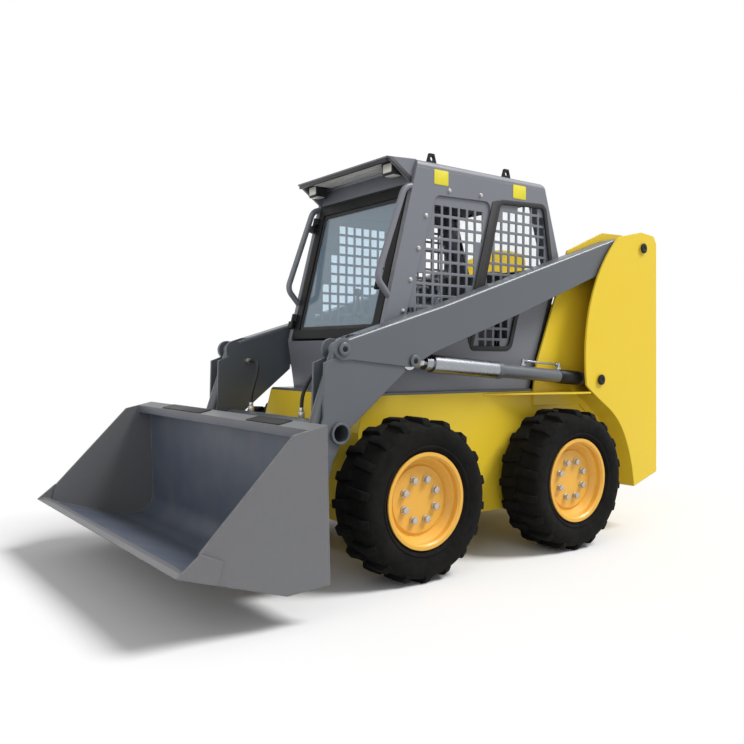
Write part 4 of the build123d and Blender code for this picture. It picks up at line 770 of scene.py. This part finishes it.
# %% Spin the carcass and set the bars
TREAD_FLATS = 36
BAR_WIDTH = 0.038
BAR_SLANT = math.radians(6.8)
HALF_TYRE = 0.132
CARCASS_SIDE = [
    (0.106, 0.2055), (0.106, 0.226), (0.110, 0.233), (0.121, 0.240), (0.124, 0.247), (0.121, 0.254),
    (0.126, 0.266), (0.1305, 0.282), (0.132, 0.2985), (0.131, 0.315), (0.127, 0.332), (0.119, 0.344),
    (0.107, 0.351), (0.070, 0.3545), (0.030, 0.356),
]
BAR_SECTION = [
    (-0.014, 0.336), (-0.006, 0.3715), (0.0, 0.375), (0.094, 0.375), (0.108, 0.3695), (0.125, 0.346),
    (0.123, 0.325),
]
BAR_FOOT = 0.34
BAR_BEVEL = 0.003
TYRE_STEPS = 144


def add_bar(bm, number):
    """One bar of tread, bevelled, on its flat."""
    side = 1 if number % 2 else -1
    part = bmesh.new()
    part.faces.new([part.verts.new((-BAR_WIDTH / 2, side * y, radius)) for y, radius in BAR_SECTION])
    draw_out(part, (BAR_WIDTH, 0, 0))
    rim = [e for e in part.edges if all(v.co.z > BAR_FOOT for v in e.verts)]
    bevel(part, rim, BAR_BEVEL, 2, "EDGES")
    lean = Matrix.Rotation(side * BAR_SLANT, 4, "Z")
    middle = Matrix.Translation((0, side * HALF_TYRE / 2, 0))
    bmesh.ops.transform(part, matrix=middle @ lean @ middle.inverted(), verts=part.verts)
    turn = 2 * math.pi * number / TREAD_FLATS
    c, s = math.cos(turn), math.sin(turn)
    flat = Matrix(((c, 0, s), (0, -1, 0), (s, 0, -c)))
    bmesh.ops.transform(part, matrix=flat.to_4x4(), verts=part.verts)
    join(bm, part)


def make_tyre(name, body, centre, hand):
    """A round tyre on a wheel's centre. hand is 1 on the left and -1 on the right."""
    bm = bmesh.new()
    outline = CARCASS_SIDE + [(-across, radius) for across, radius in CARCASS_SIDE[::-1]]
    corners = [bm.verts.new((0, across, radius)) for across, radius in outline]
    loop = [bm.edges.new((corners[i - 1], corners[i])) for i in range(len(corners))]
    spin(bm, corners + loop, (0, 1, 0), TYRE_STEPS)
    for number in range(TREAD_FLATS):
        add_bar(bm, number)
    if hand < 0:
        bmesh.ops.scale(bm, vec=(1, -1, 1), verts=bm.verts)
    bmesh.ops.translate(bm, verts=bm.verts, vec=centre)
    make_piece(name, bm, body, "tyre_rubber", replaced=[name.replace("tread_", "")])


# %% [markdown]
# ## Wheel nuts
# Eight nuts on washers hold each wheel. They are zinc plated and pale against the yellow disc.
# The CAD model has plain round nuts in the same places, and these caps stand over them.

# %% Tyres and nuts on four wheels
NUT_COUNT = 8
NUT_CIRCLE = 0.098
NUT_RADIUS = 0.0165
NUT_HEIGHT = 0.023
DISC_FACE = 0.671
for axle in ("front", "rear"):
    for side_name, hand in (("left", 1), ("right", -1)):
        low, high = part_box(f"tyre_{axle}_{side_name}")
        centre = (low + high) / 2
        wheel = f"wheel_{axle}_{side_name}"
        make_tyre(f"tread_tyre_{axle}_{side_name}", wheel, centre, hand)
        nuts = bmesh.new()
        for number in range(NUT_COUNT):
            turn = 2 * math.pi * (number + 0.5) / NUT_COUNT
            foot = (centre.x + NUT_CIRCLE * math.cos(turn), hand * DISC_FACE,
                    centre.z + NUT_CIRCLE * math.sin(turn))
            add_bolt(nuts, foot, (0, hand, 0), NUT_RADIUS, NUT_HEIGHT)
        make_piece(f"wheel_nuts_{axle}_{side_name}", nuts, wheel, "bright_tube", "zinc")

# %% [markdown]
# ## Windows of the cab
# Each rear side window sits in a black rubber gasket, and a black strip covers the post between
# the two side windows. The front side screen is held by pale bolts instead, and a black seal
# runs down the rear edge of the cab. A gasket is a flat outline with rounded corners, inset to a
# ring and drawn out of the wall a little.

# %% Side gaskets, posts and bolts
SIDE_FACE = 0.430
GASKET_BACK = 0.4215
POST_BACK = SIDE_FACE - 0.004
SEAL_BACK = SIDE_FACE - 0.024
SIDE_GASKET = {"depth": 0.013, "radius": 0.042, "ring": 0.026, "width": 0.003}
POST_STRIP = {"depth": 0.0075, "radius": 0.006, "width": 0.002}
SEAL_STRIP = {"depth": 0.028, "radius": 0.004, "width": 0.002}
SCREEN_BOLT = {"radius": 0.010, "height": 0.008}
SIDE_GLASS = [
    (-0.380, 1.872), (-0.760, 1.889), (-0.832, 1.507), (-0.548, 1.270), (-0.488, 1.060), (-0.170, 1.060),
]
REAR_SEAL = [
    [(-0.706, 1.010), (-0.679, 1.015), (-0.799, 1.378), (-0.828, 1.371)],
    [(-0.828, 1.371), (-0.799, 1.378), (-0.905, 1.493), (-0.930, 1.480)],
]
POST = [(-0.386, 1.866), (-0.338, 1.853), (-0.152, 1.165), (-0.176, 1.090)]
BOLTS = [
    (-0.030, 1.871), (-0.252, 1.875), (0.124, 1.728), (0.172, 1.563), (0.222, 1.405), (0.268, 1.250),
]
gaskets = bmesh.new()
bolts = bmesh.new()
for hand in HANDS:
    out = Vector((0, hand, 0))
    add_plate(gaskets, upright(SIDE_GLASS, hand * GASKET_BACK), out, **SIDE_GASKET)
    add_plate(gaskets, upright(POST, hand * POST_BACK), out, **POST_STRIP)
    for corners in REAR_SEAL:
        add_plate(gaskets, upright(corners, hand * SEAL_BACK), out, **SEAL_STRIP)
    for foot in upright(BOLTS, hand * SIDE_FACE):
        add_bolt(bolts, foot, out, **SCREEN_BOLT)
make_piece("side_window_gaskets", gaskets, "chassis", "black_paint", "gasket_rubber")
make_piece("screen_bolts", bolts, "chassis", "bright_tube", "zinc")

# %% [markdown]
# The door and the rear window lean, so their gaskets are laid out in the plane of the glass. The
# glass itself says where that plane is: its furthest reach along the outward direction.

# %% Gaskets of the door and the rear window
PILLAR_UP = Vector((-0.2488, 0, 0.9686))
PILLAR_OUT = Vector((0.9686, 0, 0.2488))
REAR_UP = Vector((0.154, 0, 0.475)).normalized()
REAR_OUT = Vector((-REAR_UP.z, 0, REAR_UP.x))
ACROSS = Vector((0, 1, 0))
PANE_GROWTH = 0.014
PANE_GASKET = {"depth": 0.006, "radius": 0.045, "ring": 0.032, "width": 0.002}


def make_pane_gasket(name, body, node, upward, outward):
    """A ring on a pane's outer face, which goes under the frame by a little."""
    low, high = span(node, upward)
    half = span(node, ACROSS)[1] + PANE_GROWTH
    face = outward * span(node, outward)[1]
    corners = [face + upward * u + ACROSS * y
               for y, u in rectangle((-half, half), (low - PANE_GROWTH, high + PANE_GROWTH))]
    gasket = bmesh.new()
    add_plate(gasket, corners, outward, **PANE_GASKET)
    make_piece(name, gasket, body, "black_paint", "gasket_rubber")


make_pane_gasket("door_gasket", "front_door", "cab_door_glass", PILLAR_UP, PILLAR_OUT)
make_pane_gasket("rear_window_gasket", "chassis", "rear_window", REAR_UP, REAR_OUT)

# %% [markdown]
# The door needs room to swing under the header. A rubber seal hangs from the header: a bar fills
# most of that slot, and a lip behind the door closes the rest to the eye. The door's top edge stays
# in its own plane as it turns, and its back only moves outwards, so neither meets the seal.

# %% Seal over the cab door
HEADER_LOW_Z = 1.89
SEAL_END_GAP = 0.004
SEAL_ROUND = 0.001
SEAL_BARS = [((-0.039, -0.003), (0.004, 0.013)), ((-0.039, -0.033), (-0.016, 0.030))]


def under_header(point):
    """Whether a point of the roof is on the header's lower edge."""
    return point.z < HEADER_LOW_Z


header_face = span("cab_roof", PILLAR_OUT, under_header)[1]
seal_half = span("cab_roof", ACROSS, under_header)[1] - SEAL_END_GAP
door_low, door_high = span("cab_door", PILLAR_UP)
seal = bmesh.new()
for outs, ups in SEAL_BARS:
    section = [PILLAR_OUT * (header_face + o) + PILLAR_UP * (door_high + u) - ACROSS * seal_half
               for o, u in rectangle(outs, ups)]
    add_plate(seal, section, ACROSS, 2 * seal_half, SEAL_ROUND)
make_piece("door_header_seal", seal, "chassis", "black_paint", "gasket_rubber")

# %% [markdown]
# Two blank yellow patches mark the lifting eyes on the left side of the roof. They are thin foil,
# so they are plates of little more than a millimetre.

# %% Blank patches
PATCH_X = [(-0.022, 0.072), (-0.595, -0.495)]
PATCH_Z = (1.892, 1.966)
PATCH_FOIL = {"depth": 0.0016, "radius": 0.006, "width": 0.0004}
patches = bmesh.new()
for edges in PATCH_X:
    add_plate(patches, upright(rectangle(edges, PATCH_Z), SIDE_FACE), ACROSS, **PATCH_FOIL)
make_piece("blank_patches", patches, "chassis", "yellow_paint", "patch_yellow")

# %% [markdown]
# ## Visor and work lamps
# Under the visor lies a pale ribbed panel, and a work lamp hangs at each end. A lamp's front is a
# pale moulded lens in a black bezel. A black bar stiffens the visor's front edge, and a black
# strip edges each cheek.

# %% Visor panel, bar, lenses and bezels
PANEL = ((0.214, -0.290, 1.980), (0.338, 0.290, 1.987))
RIB_COUNT = 21
RIB_START = -0.284
RIB_PITCH = 0.0275
RIB_WIDTH = 0.014
RIB_X = (0.217, 0.335)
RIB_Z = (1.970, 1.982)
VISOR_BAR = ((0.340, -0.398, 1.966), (0.355, 0.398, 1.988))
CHEEK_Y = 0.408
CHEEK_EDGE = [(0.204, 1.884), (0.357, 1.9925), (0.325, 1.9925), (0.2035, 1.914)]
CHEEK_STRIP = {"depth": 0.004, "radius": 0.003}
LAMP_Y = (0.299, 0.383)
LAMP_Z = (1.924, 1.981)
LAMP_BEZEL = {"depth": 0.008, "radius": 0.012, "ring": 0.007, "width": 0.0015}
LENS_X = (0.295, 0.301)
LENS_Z = (1.929, 1.976)
LENS_HALF = 0.036
FLUTE_COUNT = 7
FLUTE_START = -0.033
FLUTE_PITCH = 0.0095
FLUTE_WIDTH = 0.007
FLUTE_X = (0.299, 0.3025)
FLUTE_Z = (1.932, 1.973)
LAMP_SOLE_X = (0.243, 0.288)
LAMP_SOLE_Z = (1.9175, 1.922)
LAMP_SOLE_HALF = 0.034


def add_strip(bm, xs, y_low, y_high, zs, width):
    """A block that spans two X, two Y and two Z values."""
    add_block(bm, (xs[0], y_low, zs[0]), (xs[1], y_high, zs[1]), width)


panel = bmesh.new()
add_block(panel, *PANEL)
for number in range(RIB_COUNT):
    y = RIB_START + number * RIB_PITCH
    add_strip(panel, RIB_X, y, y + RIB_WIDTH, RIB_Z, 0.002)
make_piece("visor_panel", panel, "chassis", "lamp_plastic", "visor_panel")
bezels = bmesh.new()
add_block(bezels, *VISOR_BAR, 0.003)
lenses = bmesh.new()
for hand in HANDS:
    add_plate(bezels, upright(CHEEK_EDGE, hand * CHEEK_Y), (0, hand, 0), **CHEEK_STRIP)
    corners = [(LENS_X[0], hand * y, z) for y, z in rectangle(LAMP_Y, LAMP_Z)]
    add_plate(bezels, corners, (1, 0, 0), **LAMP_BEZEL)
    middle = sum(LAMP_Y) / 2 * hand
    add_strip(lenses, LENS_X, middle - LENS_HALF, middle + LENS_HALF, LENS_Z, 0.002)
    for number in range(FLUTE_COUNT):
        y = middle + FLUTE_START + number * FLUTE_PITCH
        add_strip(lenses, FLUTE_X, y, y + FLUTE_WIDTH, FLUTE_Z, 0.001)
    add_strip(lenses, LAMP_SOLE_X, middle - LAMP_SOLE_HALF, middle + LAMP_SOLE_HALF, LAMP_SOLE_Z, 0.0015)
make_piece("lamp_bezels", bezels, "chassis", "lamp_plastic")
make_piece("lamp_lenses", lenses, "chassis", "lamp_plastic", "lamp_lens")

# %% [markdown]
# ## Pins
# Every pin of the loader has a turned end cap with a chamfer and a small recess. On the towers
# they are black. On the arms they are grey like the arm, and a black disc fills the recess: painted
# shade, the dark of the hole. A cap is a line spun round the pin.

# %% Pin caps on towers and arms
TOWER_PINS = [(-1.429, 1.681), (-1.042, 0.903)]
ARM_PINS = [(0.315, 1.007), (0.717, 1.059)]
TOWER_CAP_Y = 0.608
ARM_CAP_Y = 0.584
ARM_HOLE_SHADE_Y = 0.586
CAP_PROFILE = [
    (0.0, 0.0), (0.0, 0.030), (0.004, 0.030), (0.006, 0.027), (0.006, 0.014), (0.003, 0.012), (0.003, 0.0),
]
# A black disc in the arm caps' recess: painted shade for the dark of the hole.
HOLE_SHADE_PROFILE = [(0.0, 0.0), (0.0, 0.012), (0.0045, 0.0115), (0.0055, 0.009), (0.0055, 0.0)]
tower_caps = bmesh.new()
arm_caps = bmesh.new()
arm_hole_shades = bmesh.new()
for hand in HANDS:
    out = (0, hand, 0)
    for x, z in TOWER_PINS:
        add_turned(tower_caps, CAP_PROFILE, (x, hand * TOWER_CAP_Y, z), out)
    for x, z in ARM_PINS:
        add_turned(arm_caps, CAP_PROFILE, (x, hand * ARM_CAP_Y, z), out)
        add_turned(arm_hole_shades, HOLE_SHADE_PROFILE, (x, hand * ARM_HOLE_SHADE_Y, z), out)
make_piece("tower_pin_caps", tower_caps, "chassis", "black_paint")
make_piece("arm_pin_caps", arm_caps, "loader_arm", "dark_grey_paint")
make_piece("arm_pin_hole_shades", arm_hole_shades, "loader_arm", "black_paint")

# %% [markdown]
# ## Cylinder fittings
# A steel pipe runs along the top of each lift cylinder, between two ports. A nut locks the eye on
# each rod, and a black sleeve round the barrel's foot is painted shade, the dark where the barrel
# meets the shade of the tower. Places are given along the cylinder's own axis, from its base pin.

# %% Pipes, ports, nuts and sleeves of painted shade on the lift cylinders
LIFT_BASE = Vector((-1.042, 0.0, 0.903))
LIFT_TURN = math.radians(4.38)
LIFT_WAY = Vector((math.cos(LIFT_TURN), 0, math.sin(LIFT_TURN)))
LIFT_UP = Vector((-math.sin(LIFT_TURN), 0, math.cos(LIFT_TURN)))
CYLINDER_Y = 0.520


def on_lift(distance, height, hand):
    """A point along a lift cylinder, at a height over its axis."""
    return LIFT_BASE + LIFT_WAY * distance + LIFT_UP * height + Vector((0, hand * CYLINDER_Y, 0))


# A black sleeve on the barrel's foot: painted shade, where the barrel meets the tower's shade.
SHADE_SLEEVE_START = 0.104
SHADE_SLEEVE_PROFILE = [
    (0.0, 0.030), (0.0, 0.0375), (0.004, 0.0395), (0.168, 0.0395), (0.172, 0.0375), (0.172, 0.030),
]
PIPE_HEIGHT = 0.064
PIPE_RADIUS = 0.006
PIPE_NUT_RADIUS = 0.010
PORTS = {0.270: (0.282, 0.300), 0.560: (0.548, 0.530)}
PORT_HEIGHTS = (0.030, 0.072)
PORT_RADIUS = 0.0095
PORT_NUT_HEIGHTS = (0.036, 0.048)
PORT_NUT_RADIUS = 0.015
ROD_NUT = (1.284, 1.310)
ROD_NUT_RADIUS = 0.031
pipes = bmesh.new()
rod_nuts = bmesh.new()
shade_sleeves = bmesh.new()
for hand in HANDS:
    add_rod(pipes, *[on_lift(port, PIPE_HEIGHT, hand) for port in PORTS], PIPE_RADIUS)
    for port, nut in PORTS.items():
        add_rod(pipes, *[on_lift(port, height, hand) for height in PORT_HEIGHTS], PORT_RADIUS)
        add_rod(pipes, *[on_lift(port, height, hand) for height in PORT_NUT_HEIGHTS], PORT_NUT_RADIUS,
                sides=6)
        add_rod(pipes, *[on_lift(place, PIPE_HEIGHT, hand) for place in nut], PIPE_NUT_RADIUS, sides=6)
    add_turned(shade_sleeves, SHADE_SLEEVE_PROFILE, on_lift(SHADE_SLEEVE_START, 0.0, hand), LIFT_WAY)
    add_rod(rod_nuts, *[on_lift(place, 0.0, hand) for place in ROD_NUT], ROD_NUT_RADIUS, 0.003, 6)
make_piece("lift_shade_sleeves", shade_sleeves, "lift_cylinders", "black_paint")
make_piece("lift_pipes", pipes, "lift_cylinders", "bright_tube")
make_piece("rod_eye_nuts", rod_nuts, "lift_pistons", "bright_tube", "zinc")

# %% [markdown]
# ## Bucket flange
# Black plates lie along the top of the bucket's flange, where it has slots. Their black is painted shade,
# the dark of the slots.

# %% Black plates of painted shade on the bucket's flange
FLANGE = (Vector((1.022, 0, 0.7642)), Vector((1.088, 0, 0.7497)))
FLANGE_OUT = Vector((0.215, 0, 0.977)).normalized()
SLOT_SHADE_ENDS = [(-0.57, -0.10), (0.37, 0.66)]
SLOT_SHADE_PLATE = {"depth": 0.004, "radius": 0.008}
# The black of these plates is painted shade: it stands in for the dark of the flange's slots.
pads = bmesh.new()
for ends in SLOT_SHADE_ENDS:
    corners = [edge + ACROSS * y for edge, y in rectangle(FLANGE, ends)]
    add_plate(pads, corners, FLANGE_OUT, **SLOT_SHADE_PLATE)
make_piece("flange_slot_shades", pads, "bucket_assembly", "black_paint")

# %% [markdown]
# ## Levers, doors and lamps
# Each control lever comes out of a ribbed rubber boot, which is a zigzag line spun round the
# lever. The cab door gets a pull handle, the rear door a flat latch, and the tail lamps a dark
# bezel round their sides.

# %% Lever boots
LEVER_FEET = [(-0.010, 0.330, 1.250), (-0.010, -0.330, 1.250)]
BOOT_PROFILE = [(0.0, 0.0), (0.0, 0.036), (0.006, 0.037), (0.010, 0.030), (0.016, 0.033), (0.020, 0.026),
                (0.026, 0.028), (0.030, 0.021), (0.036, 0.022), (0.042, 0.015), (0.042, 0.0)]
boots = bmesh.new()
for foot in LEVER_FEET:
    add_turned(boots, BOOT_PROFILE, foot, (0, 0, 1))
make_piece("lever_boots", boots, "chassis", "console_plastic", "gasket_rubber")

# %% Door handle, latch and tail lamp bezels
HANDLE_DROP = 0.10
HANDLE_INSET = 0.024
HANDLE_OUT = (-0.002, 0.018)
HANDLE_HALF = 0.05
LEG_EXTRA = 0.004
LEG_RADIUS = 0.007
BAR_EXTRA = 0.012
BAR_RADIUS = 0.008
door_face = span("cab_door", PILLAR_OUT)[1]
door_middle = (door_low + door_high) / 2 - HANDLE_DROP
door_grip = span("cab_door", ACROSS)[1] - HANDLE_INSET


def on_handle(out, u):
    """A point of the door's handle, by how far out and how far up it is."""
    return PILLAR_OUT * (door_face + out) + PILLAR_UP * (door_middle + u) + ACROSS * door_grip


cab_handle = bmesh.new()
root, tip = HANDLE_OUT
for u in (HANDLE_HALF, -HANDLE_HALF):
    add_rod(cab_handle, on_handle(root, u), on_handle(tip + LEG_EXTRA, u), LEG_RADIUS)
bar_half = HANDLE_HALF + BAR_EXTRA
add_rod(cab_handle, on_handle(tip, bar_half), on_handle(tip, -bar_half), BAR_RADIUS, 0.003)
make_piece("cab_door_handle", cab_handle, "front_door", "black_paint")

LATCH_INSET = 0.060
LATCH_BLOCKS = [
    ((0.004, -0.022, -0.055), (0.016, 0.022, 0.055), 0.004),
    ((0.0005, -0.012, -0.045), (0.008, 0.012, 0.020), 0.003),
]
rear_low, rear_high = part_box("rear_door")
latch_place = Vector((rear_low.x, rear_high.y - LATCH_INSET, (rear_low.z + rear_high.z) / 2))
rear_latch = bmesh.new()
for low, high, width in LATCH_BLOCKS:
    add_block(rear_latch, latch_place + Vector(low), latch_place + Vector(high), width)
make_piece("rear_door_latch", rear_latch, "engine_door", "black_paint")

TAIL_GROWTH = 0.006
TAIL_BEZEL = {"depth": 0.016, "radius": 0.010, "ring": 0.009, "width": 0.0015}
lamp_low, lamp_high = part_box("tail_lamps")
lamp_inner = span("tail_lamps", ACROSS, lambda point: point.y > 0)[0]
tail_y = (lamp_inner - TAIL_GROWTH, lamp_high.y + TAIL_GROWTH)
tail_z = (lamp_low.z - TAIL_GROWTH, lamp_high.z + TAIL_GROWTH)
tail_bezels = bmesh.new()
for hand in HANDS:
    corners = [(lamp_high.x, hand * y, z) for y, z in rectangle(tail_y, tail_z)]
    add_plate(tail_bezels, corners, (-1, 0, 0), **TAIL_BEZEL)
make_piece("tail_lamp_bezels", tail_bezels, "chassis", "lamp_plastic")

# %% [markdown]
# ## Seat
# The seat is vinyl over foam. Each pad starts as a slightly smaller copy of its CAD solid, is
# remeshed to an even net and blown up a little as cloth with pressure and no gravity, so that its
# sides crown and its corners pull in. How far a point may move is capped, so that the pad stays in
# the room that the CAD solid holds. Sewn channels are then pressed in along straight lines.

# %% Blow up the pads
PAD_NET = 0.006
PAD_INSET = 0.008
PAD_CAP = 0.009
PAD_FRAMES = 20
PAD_PRESSURE = 4.0
PAD_QUALITY = 5
PAD_SMOOTHING = 0.4
CHANNELS = (-0.14, -0.05, 0.05, 0.14)
CHANNEL_FACING = 0.3
CHANNEL_DEPTH = 0.006
CHANNEL_HALF = 0.010


def baked(piece, name):
    """The mesh of an object with its modifiers applied."""
    graph = bpy.context.evaluated_depsgraph_get()
    mesh = bpy.data.meshes.new_from_object(piece.evaluated_get(graph))
    mesh.name = name
    return mesh


def blow_up(piece):
    """Swells a pad as cloth, with a cap on how far each point moves."""
    cloth = piece.modifiers.new("swell", "CLOTH")
    cloth.settings.quality = PAD_QUALITY
    cloth.settings.use_pressure = True
    cloth.settings.uniform_pressure_force = PAD_PRESSURE
    cloth.settings.effector_weights.gravity = 0.0
    cloth.collision_settings.use_collision = False
    for number in range(1, PAD_FRAMES + 1):
        scene.frame_set(number)
    swollen = baked(piece, "swollen")
    piece.modifiers.remove(cloth)
    scene.frame_set(1)
    for point, target in zip(piece.data.vertices, swollen.vertices):
        move = target.co - point.co
        point.co += move * min(1.0, PAD_CAP / max(move.length, 1e-9))
    bpy.data.meshes.remove(swollen)


def make_pad(name, node, facing):
    """A padded piece in the room of a CAD solid, with channels pressed into the side it faces."""
    low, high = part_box(node)
    middle, size = (low + high) / 2, high - low
    bm = bmesh.new()
    bm.from_mesh(nodes[node].data)
    bmesh.ops.remove_doubles(bm, verts=bm.verts, dist=1e-5)
    smaller = Matrix.Diagonal((*[(s - 2 * PAD_INSET) / s for s in size], 1.0))
    place = Matrix.Translation(middle) @ smaller @ Matrix.Translation(-middle)
    bmesh.ops.transform(bm, matrix=place, verts=bm.verts)
    rough = to_mesh(bm, name)
    piece = add_object(name, rough)
    net = piece.modifiers.new("net", "REMESH")
    net.mode = "VOXEL"
    net.voxel_size = PAD_NET
    even = baked(piece, name)
    piece.modifiers.remove(net)
    piece.data = even
    bpy.data.meshes.remove(rough)
    blow_up(piece)
    bm = bmesh.new()
    bm.from_mesh(piece.data)
    bm.normal_update()
    for vert in bm.verts:
        if vert.normal.dot(facing) > CHANNEL_FACING:
            near = min(abs(vert.co.y - y) for y in CHANNELS)
            vert.co -= facing * CHANNEL_DEPTH * math.exp(-(near / CHANNEL_HALF) ** 2)
    bmesh.ops.smooth_vert(bm, verts=bm.verts, factor=PAD_SMOOTHING, use_axis_x=True, use_axis_y=True,
                          use_axis_z=True)
    for face in bm.faces:
        face.smooth = True
    bm.to_mesh(piece.data)
    bm.free()
    rounding = piece.modifiers.new("rounding", "SUBSURF")
    rounding.levels = 1
    rounding.render_levels = 1
    piece.data.materials.clear()
    piece.data.materials.append(FINISH["seat_cover"])
    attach(piece, "chassis")
    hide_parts(node)
    print(name, len(piece.data.polygons), "faces")


BACKREST_FACING = Vector((0.989, 0, 0.15)).normalized()
make_pad("seat_cushion_pad", "seat_cushion", Vector((0, 0, 1)))
make_pad("seat_backrest_pad", "seat_backrest", BACKREST_FACING)
